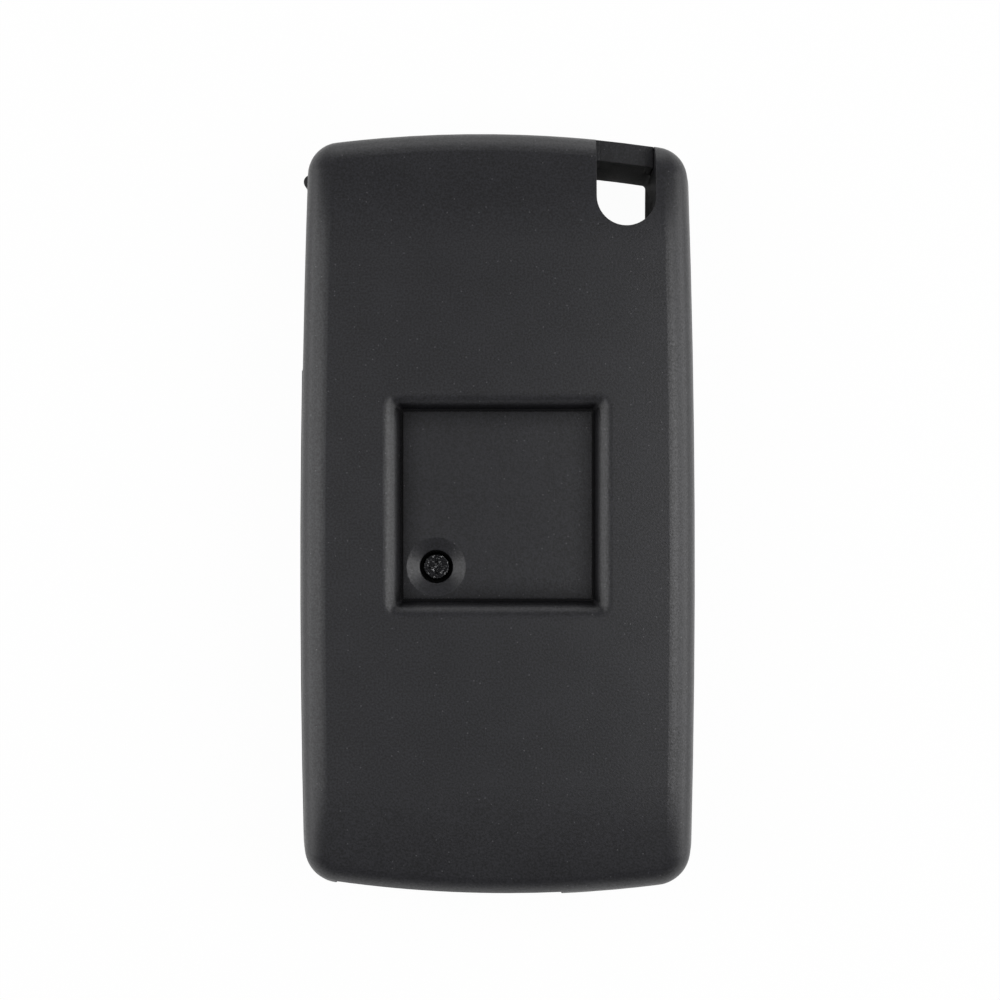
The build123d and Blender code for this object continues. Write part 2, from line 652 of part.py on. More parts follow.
def blade_plan():
    """Outline of the blade: tang, shoulders, straight edges and a narrowed tip."""
    half = BLADE_WIDTH / 2
    tip = BLADE_TIP_WIDTH / 2
    tang = TANG_WIDTH / 2
    right = [
        (tang, ARM_END_Y + TANG_LENGTH),
        (tang, ARM_END_Y),
        (half, ARM_END_Y),
        (half, BLADE_TIP_Y + BLADE_TIP_LENGTH),
        (tip, BLADE_TIP_Y),
    ]
    left = [(-x, y) for x, y in reversed(right)]
    return Pos(BLADE_X, 0) * make_face(Polyline(*right, *left, close=True))


def key_blade():
    """Steel blade with a groove in each face and notches along its inner edge."""
    blade = plate(blade_plan(), BLADE_Z0, BLADE_Z1)
    half = BLADE_WIDTH / 2
    sides = [edge for edge in blade.edges().filter_by(Axis.Y) if abs(edge.center().X - BLADE_X) > half - BLADE_EDGE]
    blade = chamfer(sides, BLADE_EDGE)
    groove_y = ARM_END_Y - GROOVE_CUT_RUNOUT
    for side, z in ((-1, BLADE_Z0), (1, BLADE_Z1)):
        x0 = BLADE_X + side * GROOVE_CUT_OFFSET - GROOVE_CUT_WIDTH / 2
        depth = GROOVE_CUT_DEPTH
        blade -= block(x0, x0 + GROOVE_CUT_WIDTH, BLADE_TIP_Y, groove_y, z - depth, z + depth)
    for i, depth in enumerate(BIT_DEPTHS):
        y = ARM_END_Y - BIT_FIRST - i * BIT_SPAN / (len(BIT_DEPTHS) - 1)
        notch = Polyline(
            (DRUM_X - depth, y - BIT_FLAT / 2),
            (DRUM_X, y - BIT_FLAT / 2 - depth),
            (DRUM_X, y + BIT_FLAT / 2 + depth),
            (DRUM_X - depth, y + BIT_FLAT / 2),
            close=True,
        )
        blade -= plate(make_face(notch), BLADE_Z0, BLADE_Z1)
    return blade - post(BLADE_X, ARM_END_Y + PIN_FROM_ARM_END, PIN_R + PIN_GAP, BLADE_Z0, BLADE_Z1)


def blade_pin():
    """Pin through the arm's cheeks and the tang."""
    return post(BLADE_X, ARM_END_Y + PIN_FROM_ARM_END, PIN_R, ARM_Z0, ARM_Z1)


def lug(index, gap, z0, z1):
    """One of the lugs round the release button, or the keyway for it when given a gap."""
    length = LUG_R + gap
    bar = Pos(length / 2, 0, (z0 + z1) / 2) * Box(length, LUG_WIDTH + 2 * gap, z1 - z0)
    return Pos(DRUM_X, DRUM_Y) * Rot(0, 0, LUG_FIRST_ANGLE + index * 360 / LUG_COUNT) * bar


def release_button():
    """Cup with a dished face, four lugs and a skirt that slides in the drum."""
    cup = post(DRUM_X, DRUM_Y, RELEASE_R, RELEASE_SINK, RELEASE_Z1)
    cup = fillet(cup.edges().group_by(Axis.Z)[0], BUTTON_EDGE_R)
    for i in range(LUG_COUNT):
        cup += lug(i, 0, LUG_Z0, RELEASE_Z1)
    inner_r = RELEASE_R - RELEASE_SKIRT_WALL
    cup -= post(DRUM_X, DRUM_Y, inner_r, RELEASE_SINK + RELEASE_FACE_THICK, RELEASE_Z1)
    dimple_r = RELEASE_R - 2 * BUTTON_EDGE_R
    ball_r = (dimple_r ** 2 + RELEASE_DIMPLE_DEPTH ** 2) / (2 * RELEASE_DIMPLE_DEPTH)
    ball_z = RELEASE_SINK + RELEASE_DIMPLE_DEPTH - ball_r
    return cup - Pos(DRUM_X, DRUM_Y, ball_z) * Rot(90, 0, 0) * Sphere(ball_r)


def flip_spring():
    """Coil spring between the release button's face and the pivot cap."""
    z0 = RELEASE_SINK + RELEASE_FACE_THICK + SPRING_WIRE_R
    z1 = PAD_Z - CAP_THICK - SPRING_WIRE_R
    pitch = (z1 - z0) / SPRING_TURNS
    path = Pos(DRUM_X, DRUM_Y, z0) * Helix(pitch=pitch, height=z1 - z0, radius=SPRING_R)
    section = Plane(origin=path @ 0, z_dir=path % 0) * Circle(SPRING_WIRE_R)
    return sweep(section, path=path)


def pivot_cap():
    """Anchor of the spring: a disc with a slotted hub below and a square key above."""
    cap = post(DRUM_X, DRUM_Y, CAP_R, PAD_Z - CAP_THICK, PAD_Z)
    hub_z = PAD_Z - CAP_THICK - CAP_HUB_HEIGHT
    cap += post(DRUM_X, DRUM_Y, CAP_HUB_R, hub_z, PAD_Z - CAP_THICK)
    slot = Box(2 * CAP_HUB_R, CAP_SLOT_WIDTH, CAP_HUB_HEIGHT)
    cap -= Pos(DRUM_X, DRUM_Y, hub_z + CAP_HUB_HEIGHT / 2) * slot
    key = Box(CAP_KEY_SIDE, CAP_KEY_SIDE, CAP_KEY_HEIGHT)
    return cap + Pos(DRUM_X, DRUM_Y, PAD_Z + CAP_KEY_HEIGHT / 2) * key


def button_cap(x, y):
    """Rounded cap with a flange inside the cover and a stem that meets the switch."""
    top = plate(RectangleRounded(BUTTON_WIDTH, BUTTON_LENGTH, BUTTON_CORNER_R), BUTTON_SINK, FLANGE_Z1)
    top = fillet(top.edges().group_by(Axis.Z)[0], BUTTON_EDGE_R)
    size = (BUTTON_WIDTH + 2 * FLANGE_REACH, BUTTON_LENGTH + 2 * FLANGE_REACH)
    top += plate(RectangleRounded(*size, BUTTON_CORNER_R + FLANGE_REACH), FLANGE_Z0, FLANGE_Z1)
    top += post(0, 0, STEM_R, FLANGE_Z1, PLUNGER_Z0 - PLUNGER_GAP)
    return Pos(x, y) * top


def button_mat():
    """Silicone mat: a wall round the buttons, a web they work through and a collar for the boss."""
    places = button_places()
    span = places[0][1] - places[-1][1]
    half_x = BUTTON_WIDTH / 2 + FLANGE_REACH + MAT_GAP
    half_y = (span + BUTTON_LENGTH) / 2 + FLANGE_REACH + MAT_GAP
    inner = RectangleRounded(2 * half_x, 2 * half_y, BUTTON_CORNER_R + FLANGE_REACH + MAT_GAP)
    outer = offset(inner, MAT_WALL)
    mid_y = places[0][1] - span / 2
    mat = plate(Pos(BUTTON_X, mid_y) * (outer - inner), FLOOR_Z, BOARD_Z0)
    mat += plate(Pos(BUTTON_X, mid_y) * outer, WEB_Z0, WEB_Z0 + MAT_WEB_THICK)
    hole_r = FRONT_BOSS_R + MAT_BOSS_GAP
    mat += post(SCREW_X, SCREW_Y, hole_r + MAT_COLLAR_THICK, FLOOR_Z, BOARD_Z0)
    mat -= post(SCREW_X, SCREW_Y, hole_r, FLOOR_Z, BOARD_Z0)
    for x, y in places:
        mat -= post(x, y, STEM_R + MAT_STEM_GAP, WEB_Z0, WEB_Z0 + MAT_WEB_THICK)
    return mat


def circuit_board():
    """Board cut to the case, the blade bay and the drum's guide."""
    face = outline(WALL + BOARD_SIDE_GAP)
    x0 = BAY_X + RIB_WALL + BOARD_BAY_GAP
    face &= Pos((x0 + HALF_WIDTH) / 2, BOARD_TOP_Y - REACH / 2) * Rectangle(HALF_WIDTH - x0, REACH)
    face -= Pos(DRUM_X, DRUM_Y) * Circle(GUIDE_R + BOARD_SIDE_GAP)
    board = plate(face, BOARD_Z0, BOARD_Z1)
    board -= post(SCREW_X, SCREW_Y, FRONT_BOSS_R + BOARD_HOLE_GAP, BOARD_Z0, BOARD_Z1)
    for x, y in post_places():
        board -= post(x, y, POST_PIN_R + POST_PIN_GAP, BOARD_Z0, BOARD_Z1)
    return board


def switch_body(x, y):
    """Square tactile switch under the board, with a round guide for its plunger."""
    body = block(-SWITCH_SIDE / 2, SWITCH_SIDE / 2, -SWITCH_SIDE / 2, SWITCH_SIDE / 2, SWITCH_Z0, BOARD_Z0)
    body -= post(0, 0, PLUNGER_R + PLUNGER_GAP, SWITCH_Z0, BOARD_Z0)
    return Pos(x, y) * body


def switch_plunger(x, y):
    """Round plunger that the button's stem pushes into the switch."""
    return post(x, y, PLUNGER_R, PLUNGER_Z0, PLUNGER_Z0 + PLUNGER_LENGTH)


def controller_chip():
    """Moulded package with a row of leads along each long side."""
    z0 = BOARD_Z1 + CHIP_STANDOFF
    half_x = CHIP_WIDTH / 2
    half_y = CHIP_LENGTH / 2
    chip = block(-half_x, half_x, -half_y, half_y, z0, z0 + CHIP_HEIGHT)
    pitch = CHIP_LENGTH / CHIP_LEAD_COUNT
    knee_z = z0 + CHIP_HEIGHT / 2
    for i in range(CHIP_LEAD_COUNT):
        y = -half_y + (i + 0.5) * pitch
        y0 = y - CHIP_LEAD_WIDTH / 2
        y1 = y + CHIP_LEAD_WIDTH / 2
        for side in (-1, 1):
            knee = sorted((side * half_x, side * (half_x + CHIP_LEAD_REACH / 2)))
            leg = sorted((knee[side > 0] - side * CHIP_LEAD_THICK, knee[side > 0]))
            foot = sorted((leg[side < 0], side * (half_x + CHIP_LEAD_REACH)))
            chip += block(*knee, y0, y1, knee_z - CHIP_LEAD_THICK, knee_z)
            chip += block(*leg, y0, y1, BOARD_Z1, knee_z)
            chip += block(*foot, y0, y1, BOARD_Z1, BOARD_Z1 + CHIP_LEAD_THICK)
    return Pos(CHIP_X, CHIP_Y) * chip


def transponder_coil():
    """Ferrite bobbin: a wound waist between two end flanges."""
    half = COIL_LENGTH / 2
    waist_y = COIL_WIDTH / 2 - COIL_WAIST
    z1 = BOARD_Z1 + COIL_HEIGHT
    coil = block(-half, half, -waist_y, waist_y, BOARD_Z1 + COIL_WAIST, z1 - COIL_WAIST)
    for side in (-1, 1):
        x = sorted((side * half, side * (half - COIL_FLANGE)))
        coil += block(*x, -COIL_WIDTH / 2, COIL_WIDTH / 2, BOARD_Z1, z1)
    return Pos(COIL_X, COIL_Y) * coil


def crystal():
    """Low metal can with rounded corners."""
    face = RectangleRounded(CRYSTAL_WIDTH, CRYSTAL_LENGTH, CRYSTAL_CORNER_R)
    return plate(Pos(CRYSTAL_X, CRYSTAL_Y) * face, BOARD_Z1, BOARD_Z1 + CRYSTAL_HEIGHT)


def chip_capacitors():
    """Small rectangular capacitors, each its own solid in one group."""
    height = CAPACITOR_SIZE[2]
    chip = Pos(CHIP_X, CHIP_Y, BOARD_Z1 + height / 2)
    return [chip * Pos(x, y) * Box(*CAPACITOR_SIZE) for x, y in CAPACITOR_FROM_CHIP]


def coin_cell():
    """Coin cell: a wide can with a narrower lower face."""
    can = post(CELL_X, CELL_Y, CELL_R, CELL_Z0 + CELL_RIM_STEP, CELL_Z1)
    can = fillet(can.edges().group_by(Axis.Z)[-1], CELL_EDGE_R)
    return can + post(CELL_X, CELL_Y, CELL_R - 2 * CELL_RIM_STEP, CELL_Z0, CELL_Z1 - CELL_HEIGHT / 2)


def strip(points, width):
    """Bent metal strip: a path in the plane of Y and Z, given a thickness and a width."""
    profile = trace(Polyline(*points), line_width=CONTACT_THICK)
    return extrude(Plane.YZ * profile, amount=width / 2, both=True)


def positive_contact():
    """Strap that runs over the cell and stands on the board at both ends."""
    foot_z = BOARD_Z1 + CONTACT_THICK / 2
    top_z = CELL_Z1 + CONTACT_THICK / 2
    leg = CELL_R + CONTACT_SIDE_GAP
    foot = leg + CONTACT_FOOT
    points = [(-foot, foot_z), (-leg, foot_z), (-leg, top_z), (leg, top_z), (leg, foot_z), (foot, foot_z)]
    return Pos(CELL_X, CELL_Y) * strip(points, CONTACT_WIDTH)


def negative_contact():
    """Sprung leaf on the board that presses on the cell from below."""
    foot_z = BOARD_Z1 + CONTACT_THICK / 2
    top_z = CELL_Z0 - CONTACT_THICK / 2
    end = LEAF_LENGTH / 2
    knee = end - CONTACT_FOOT
    rise = knee - LEAF_RISE
    points = [(-end, foot_z), (-knee, foot_z), (-rise, top_z), (rise, top_z), (knee, foot_z), (end, foot_z)]
    return Pos(CELL_X, CELL_Y) * strip(points, CONTACT_WIDTH)


def key_parts():
    """Every piece of the key by its name."""
    parts = {
        "rear_cover": rear_cover(),
        "front_cover": front_cover(),
        "case_screw": case_screw(),
        "blade_carrier": blade_carrier(),
        "key_blade": key_blade(),
        "blade_pin": blade_pin(),
        "release_button": release_button(),
        "flip_spring": flip_spring(),
        "pivot_cap": pivot_cap(),
        "button_mat": button_mat(),
        "circuit_board": circuit_board(),
        "controller_chip": controller_chip(),
        "transponder_coil": transponder_coil(),
        "crystal": crystal(),
        "chip_capacitors": Compound(children=chip_capacitors()),
        "coin_cell": coin_cell(),
        "positive_contact": positive_contact(),
        "negative_contact": negative_contact(),
    }
    for name, (x, y) in zip(BUTTON_NAMES, button_places()):
        parts[name + "_button"] = button_cap(x, y)
        parts[name + "_switch_body"] = switch_body(x, y)
        parts[name + "_switch_plunger"] = switch_plunger(x, y)
    return parts


for name, part in key_parts().items():
    export_step(part, f"parts/{name}.step")
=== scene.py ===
import logging
import math
from abc import ABC, abstractmethod
from collections.abc import Sequence
from dataclasses import dataclass, field
from enum import Enum

import bmesh
import bpy
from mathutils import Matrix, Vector


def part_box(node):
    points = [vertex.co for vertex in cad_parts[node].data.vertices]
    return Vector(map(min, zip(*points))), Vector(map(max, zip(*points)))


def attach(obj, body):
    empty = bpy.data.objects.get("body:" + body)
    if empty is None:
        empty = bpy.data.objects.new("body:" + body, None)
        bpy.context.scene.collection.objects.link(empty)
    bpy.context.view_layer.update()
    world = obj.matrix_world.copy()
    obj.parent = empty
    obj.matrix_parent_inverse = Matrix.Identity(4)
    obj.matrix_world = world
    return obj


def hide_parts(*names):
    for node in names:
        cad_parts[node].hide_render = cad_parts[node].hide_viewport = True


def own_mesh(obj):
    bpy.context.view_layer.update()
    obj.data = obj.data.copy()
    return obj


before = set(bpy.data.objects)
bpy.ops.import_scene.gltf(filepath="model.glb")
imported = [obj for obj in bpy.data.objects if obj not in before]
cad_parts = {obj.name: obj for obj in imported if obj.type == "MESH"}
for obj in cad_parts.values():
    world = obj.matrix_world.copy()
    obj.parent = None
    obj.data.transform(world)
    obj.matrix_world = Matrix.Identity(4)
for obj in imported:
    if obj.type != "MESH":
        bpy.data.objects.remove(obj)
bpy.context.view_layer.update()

LOG = logging.getLogger("flip_key")
Colour = tuple[float, float, float, float]
Points = list[Vector]

MM = 0.001
# Angle between two faces from which their edge is shaded sharp
SMOOTH_DEG = 35.0
# Least cosine of half a bend in a stripe, so that sharp bends don't reach out
MITRE_LIMIT = 0.4
# Distance within which corners of a mesh count as one
WELD_MM = 0.001
# Inputs and output of a mix node for its colours
MIX_A, MIX_B, MIX_OUT = 6, 7, 2
# Share of a noise pattern over which one colour, or one roughness, turns into the other
GRAIN_WINDOW = (0.35, 0.65)
ROUGH_WINDOW = (0.3, 0.7)
# Change of roughness from the middle, in the pits and on the tips of a pattern
GRAIN_ROUGH = (0.06, -0.06)
LINE_ROUGH = (0.08, -0.06)
# Width of the soft clouds in moulded plastic, and how much they add to its grain
CLOUD_MM = 4.0
CLOUD_SHARE = 0.12
# Radius that a mould leaves on its sharp edges
EDGE_MM = 0.15
# Painted shade in closed corners: its reach, the openness at which it is full and at which it is gone, and
# its colour
CORNER_SHADE_MM = 2.5
CORNER_SHADE_OPEN = (0.8, 0.98)
CORNER_SHADE_COLOUR = "#050505"
# Specular level of a plastic where no painted shade dims it
PLAIN_LEVEL = 0.5
# Pale specks: distance between them, radius and colour
SPECK_PITCH_MM = 0.6
SPECK_R_MM = 0.07
SPECK_COLOUR = "#454548"


def linear(code: str) -> Colour:
    """Turn an sRGB hex colour into linear RGBA.

    Args:
        code: Colour such as "#343437".

    Returns:
        Linear red, green and blue, and an alpha of one.
    """
    levels = [int(code[i:i + 2], 16) / 255 for i in (1, 3, 5)]
    red, green, blue = (v / 12.92 if v <= 0.04045 else ((v + 0.055) / 1.055) ** 2.4 for v in levels)
    return red, green, blue, 1.0


def add_node(
    tree: bpy.types.NodeTree, kind: str, links: dict | None = None, **settings: object,
) -> bpy.types.Node:
    """Add a shader node with its settings, values and links.

    Args:
        tree: Node tree that gets the node.
        kind: Blender's name of the node's type.
        links: For each input, by name or index, the socket to link or the value to set.
        **settings: Properties of the node itself.

    Returns:
        The new node.
    """
    node = tree.nodes.new(kind)
    for name, value in settings.items():
        setattr(node, name, value)
    for key, value in (links or {}).items():
        if isinstance(value, bpy.types.NodeSocket):
            tree.links.new(value, node.inputs[key])
        else:
            node.inputs[key].default_value = value
    return node


def node_box(name: str) -> tuple[Vector, Vector, Vector]:
    """Lowest corner, highest corner and centre of a CAD node at rest, in millimetres."""
    low, high = (Vector(corner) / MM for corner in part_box(name))
    return low, high, (low + high) / 2


def stand(name: str, data: bpy.types.ID) -> bpy.types.Object:
    """Put a mesh, lamp or camera into the scene.

    Args:
        name: Name of the new object.
        data: What it shows.

    Returns:
        The new object.
    """
    thing = bpy.data.objects.new(name, data)
    bpy.context.scene.collection.objects.link(thing)
    return thing


def start_material(name: str) -> tuple[bpy.types.Material, bpy.types.NodeTree]:
    """Begin a material.

    Args:
        name: Name of the material.

    Returns:
        The material and its emptied node tree.
    """
    material = bpy.data.materials.new(name)
    material.use_nodes = True
    material.node_tree.nodes.clear()
    return material, material.node_tree


def circle(radius: float, steps: int = 24, first_deg: float = 0.0, turn_deg: float = 360.0) -> Points:
    """Points round a circle or along an arc of it.

    Args:
        radius: Radius in millimetres.
        steps: Number of points, or of steps along an arc.
        first_deg: Direction of the first point.
        turn_deg: How far the arc turns; a full turn leaves out the last point.

    Returns:
        Points in the plane, anticlockwise.
    """
    count = steps if turn_deg == 360.0 else steps + 1
    angles = [math.radians(first_deg + turn_deg * i / steps) for i in range(count)]
    return [Vector((radius * math.cos(a), radius * math.sin(a))) for a in angles]


def rounded(width: float, length: float, radius: float, steps: int = 5) -> Points:
    """Outline of a rectangle with rounded corners.

    Args:
        width: Size along X in millimetres.
        length: Size along Y.
        radius: Corner radius.
        steps: Steps round each corner.

    Returns:
        Points in the plane, anticlockwise from the right side.
    """
    points = []
    for quarter, (side_x, side_y) in enumerate(((1, 1), (-1, 1), (-1, -1), (1, -1))):
        centre = Vector((side_x * (width / 2 - radius), side_y * (length / 2 - radius)))
        points += [centre + p for p in circle(radius, steps, 90.0 * quarter, 90.0)]
    return points


def stripe(path: Points, width: float) -> Points:
    """Outline of a stripe along an open path.

    Args:
        path: Middle line of the stripe.
        width: Width of the stripe in millimetres.

    Returns:
        Its outline, up one side and back down the other.
    """
    left, right = [], []
    for i, point in enumerate(path):
        ahead = (path[min(i + 1, len(path) - 1)] - path[min(i, len(path) - 2)]).normalized()
        behind = (path[max(i, 1)] - path[max(i - 1, 0)]).normalized()
        middle = (ahead + behind).normalized()
        side = Vector((-middle.y, middle.x)) * width / 2 / max(middle.dot(ahead), MITRE_LIMIT)
        left.append(point + side)
        right.append(point - side)
    return right + left[::-1]


def moved(points: Points, x: float, y: float) -> Points:
    """Points of the plane shifted by a distance."""
    return [p + Vector((x, y)) for p in points]


@dataclass
class Shell:
    """Closed mesh put together from lofted rings, in millimetres.

    Attributes:
        name: Name of the piece.
        mesh: The mesh as it is built.
    """

    name: str
    mesh: bmesh.types.BMesh = field(default_factory=bmesh.new)

    def loft(self, rings: Sequence[Points], loop: bool = False) -> None:
        """Join rings of equally many points.

        Args:
            rings: The rings in order, each of points in space.
            loop: True where the last ring joins the first, and False where both ends are closed.
        """
        loops = [[self.mesh.verts.new(point * MM) for point in ring] for ring in rings]
        pairs = list(zip(loops, loops[1:]))
        if loop:
            pairs.append((loops[-1], loops[0]))
        for low, high in pairs:
            for i, vert in enumerate(low):
                j = (i + 1) % len(low)
                self.mesh.faces.new((vert, low[j], high[j], high[i]))
        if not loop:
            self.mesh.faces.new(loops[0][::-1])
            self.mesh.faces.new(loops[-1])

    def slab(self, outline: Points, z0: float, z1: float) -> None:
        """Give an outline of the plane a thickness, from one height to another."""
        self.loft([[point.to_3d() + Vector((0, 0, z)) for point in outline] for z in (z0, z1)])

    def washer(self, outer: Points, inner: Points, z0: float, z1: float) -> None:
        """Make a flat piece with a hole, whose outline has as many points as the outer one."""
        rings = [(outer, z0), (outer, z1), (inner, z1), (inner, z0)]
        self.loft([[p.to_3d() + Vector((0, 0, z)) for p in ring] for ring, z in rings], loop=True)

    def pillow(
        self, outline: Points, x: float, y: float, levels: Sequence[tuple[float, float]],
    ) -> None:
        """Stack copies of an outline over a place, with the height and scale of each."""
        self.loft([[Vector((x + p.x * s, y + p.y * s, z)) for p in outline] for z, s in levels])

    def fit(self, body: str, finish: "Finish") -> None:
        """Turn the shell into a piece of the key.

        Args:
            body: Body that it rides on.
            finish: Its finish.
        """
        bmesh.ops.recalc_face_normals(self.mesh, faces=self.mesh.faces)
        mesh = bpy.data.meshes.new(self.name)
        self.mesh.to_mesh(mesh)
        self.mesh.free()
        mesh.shade_smooth()
        mesh.set_sharp_from_angle(angle=math.radians(SMOOTH_DEG))
        mesh.materials.append(finish.material())
        piece = stand(self.name, mesh)
        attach(piece, body)
        LOG.info("%s: %d faces, %s", self.name, len(mesh.polygons), finish.name)


class Lay(Enum):
    """Direction in which a metal's fine lines run, as the pattern's scale along X, Y and Z."""

    ALONG_Y = (1.0, 0.02, 1.0)
    ALONG_Z = (1.0, 1.0, 0.02)
    NONE = (1.0, 1.0, 1.0)


@dataclass(frozen=True)
class Finish(ABC):
    """A real material with its surface, made once and shared by the pieces that have it.

    Attributes:
        name: Name of the material and of the process that made its surface.
        colour: Its colour as sRGB hex.
        roughness: Middle roughness of its surface.
    """

    name: str
    colour: str
    roughness: float

    def material(self) -> bpy.types.Material:
        """The finish as a material, built on first use."""
        return bpy.data.materials.get(self.name) or self.build()

    def start(self) -> tuple[bpy.types.Material, bpy.types.NodeTree, bpy.types.NodeSocket]:
        """Begin the material.

        Returns:
            The material, its node tree and the surface coordinates in metres.
        """
        material, tree = start_material(self.name)
        material.diffuse_color = linear(self.colour)
        return material, tree, add_node(tree, "ShaderNodeTexCoord").outputs["Object"]

    def close(self, tree: bpy.types.NodeTree, values: dict) -> None:
        """Make the shader with its inputs and link it to the output."""
        shader = add_node(tree, "ShaderNodeBsdfPrincipled", values)
        add_node(tree, "ShaderNodeOutputMaterial", {"Surface": shader.outputs["BSDF"]})

    @abstractmethod
    def build(self) -> bpy.types.Material:
        """Make the material's nodes."""


@dataclass(frozen=True)
class MouldedPlastic(Finish):
    """Plastic or rubber that copies the texture of its mould.

    Attributes:
        light: Colour of the texture's tips, which the mould scuffs paler.
        grain_mm: Width of a grain of the mould's texture.
        relief_mm: Depth of the texture.
        speck: Share of the surface in pale specks, scattered at random.
        ior: Refractive index of the plastic.
        corner_shade_keep: Share of its colour and gloss that the painted shade leaves in a closed corner.
    """

    light: str
    grain_mm: float
    relief_mm: float
    speck: float = 0.0
    ior: float = 1.5
    corner_shade_keep: float = 1.0

    def build(self) -> bpy.types.Material:
        """Make the grain, the soft clouds over a few millimetres, and the specks.

        Returns:
            The new material.
        """
        material, tree, coords = self.start()
        grain = add_node(tree, "ShaderNodeTexNoise", {
            "Vector": coords, "Scale": 1 / (self.grain_mm * MM), "Roughness": 0.6,
        }).outputs["Fac"]
        cloud = add_node(tree, "ShaderNodeTexNoise", {
            "Vector": coords, "Scale": 1 / (CLOUD_MM * MM), "Detail": 1.0,
        }).outputs["Fac"]
        blend = add_node(tree, "ShaderNodeMath", {
            0: cloud, 1: CLOUD_SHARE, 2: grain,
        }, operation="MULTIPLY_ADD").outputs["Value"]
        spread = add_node(tree, "ShaderNodeMapRange", {
            "Value": blend,
            "From Min": GRAIN_WINDOW[0] + CLOUD_SHARE / 2, "From Max": GRAIN_WINDOW[1] + CLOUD_SHARE / 2,
        }).outputs["Result"]
        colour = add_node(tree, "ShaderNodeMix", {
            0: spread, MIX_A: linear(self.colour), MIX_B: linear(self.light),
        }, data_type="RGBA").outputs[MIX_OUT]
        if self.speck:
            colour = self.add_specks(tree, coords, colour)
        rough = add_node(tree, "ShaderNodeMapRange", {
            "Value": grain, "From Min": ROUGH_WINDOW[0], "From Max": ROUGH_WINDOW[1],
            "To Min": self.roughness + GRAIN_ROUGH[0], "To Max": self.roughness + GRAIN_ROUGH[1],
        }).outputs["Result"]
        edges = add_node(tree, "ShaderNodeBevel", {"Radius": EDGE_MM * MM}).outputs["Normal"]
        bump = add_node(tree, "ShaderNodeBump", {
            "Height": grain, "Distance": self.relief_mm * MM, "Normal": edges,
        }).outputs["Normal"]
        values = {"Base Color": colour, "Roughness": rough, "Normal": bump, "IOR": self.ior}
        # Painted shade: ambient occlusion darkens the colour and specular level in closed corners
        if self.corner_shade_keep < 1.0:
            values |= self.paint_corner_shade(tree, colour)
        self.close(tree, values)
        return material

    def paint_corner_shade(self, tree: bpy.types.NodeTree, colour: bpy.types.NodeSocket) -> dict:
        """Paint shade into the colour and specular level where the surface's own shape closes it in.

        Args:
            tree: Node tree of the material.
            colour: Colour in the open.

        Returns:
            The shader's colour and specular level.
        """
        openness = add_node(tree, "ShaderNodeAmbientOcclusion", {
            "Distance": CORNER_SHADE_MM * MM,
        }, samples=6, only_local=True).outputs["AO"]
        unshaded = add_node(tree, "ShaderNodeMapRange", {
            "Value": openness, "From Min": CORNER_SHADE_OPEN[0], "From Max": CORNER_SHADE_OPEN[1],
            "To Min": self.corner_shade_keep,
        }).outputs["Result"]
        shaded_colour = add_node(tree, "ShaderNodeMix", {
            0: unshaded, MIX_A: linear(CORNER_SHADE_COLOUR), MIX_B: colour,
        }, data_type="RGBA").outputs[MIX_OUT]
        level = add_node(tree, "ShaderNodeMath", {
            0: unshaded, 1: PLAIN_LEVEL,
        }, operation="MULTIPLY").outputs["Value"]
        return {"Base Color": shaded_colour, "Specular IOR Level": level}

    def add_specks(
        self, tree: bpy.types.NodeTree, coords: bpy.types.NodeSocket, colour: bpy.types.NodeSocket,
    ) -> bpy.types.NodeSocket:
        """Scatter pale specks over the colour.

        Args:
            tree: Node tree of the material.
            coords: Surface coordinates in metres.
            colour: Colour under the specks.

        Returns:
            The colour with the specks.
        """
        cells = add_node(tree, "ShaderNodeTexVoronoi", {
            "Vector": coords, "Scale": 1 / (SPECK_PITCH_MM * MM),
        })
        near = add_node(tree, "ShaderNodeMath", {
            0: cells.outputs["Distance"], 1: SPECK_R_MM / SPECK_PITCH_MM,
        }, operation="LESS_THAN").outputs["Value"]
        pick = add_node(tree, "ShaderNodeSeparateColor", {
            "Color": cells.outputs["Color"],
        }).outputs["Red"]
        chosen = add_node(tree, "ShaderNodeMath", {
            0: pick, 1: self.speck,
        }, operation="LESS_THAN").outputs["Value"]
        mask = add_node(tree, "ShaderNodeMath", {0: near, 1: chosen}, operation="MULTIPLY").outputs["Value"]
        return add_node(tree, "ShaderNodeMix", {
            0: mask, MIX_A: colour, MIX_B: linear(SPECK_COLOUR),
        }, data_type="RGBA").outputs[MIX_OUT]


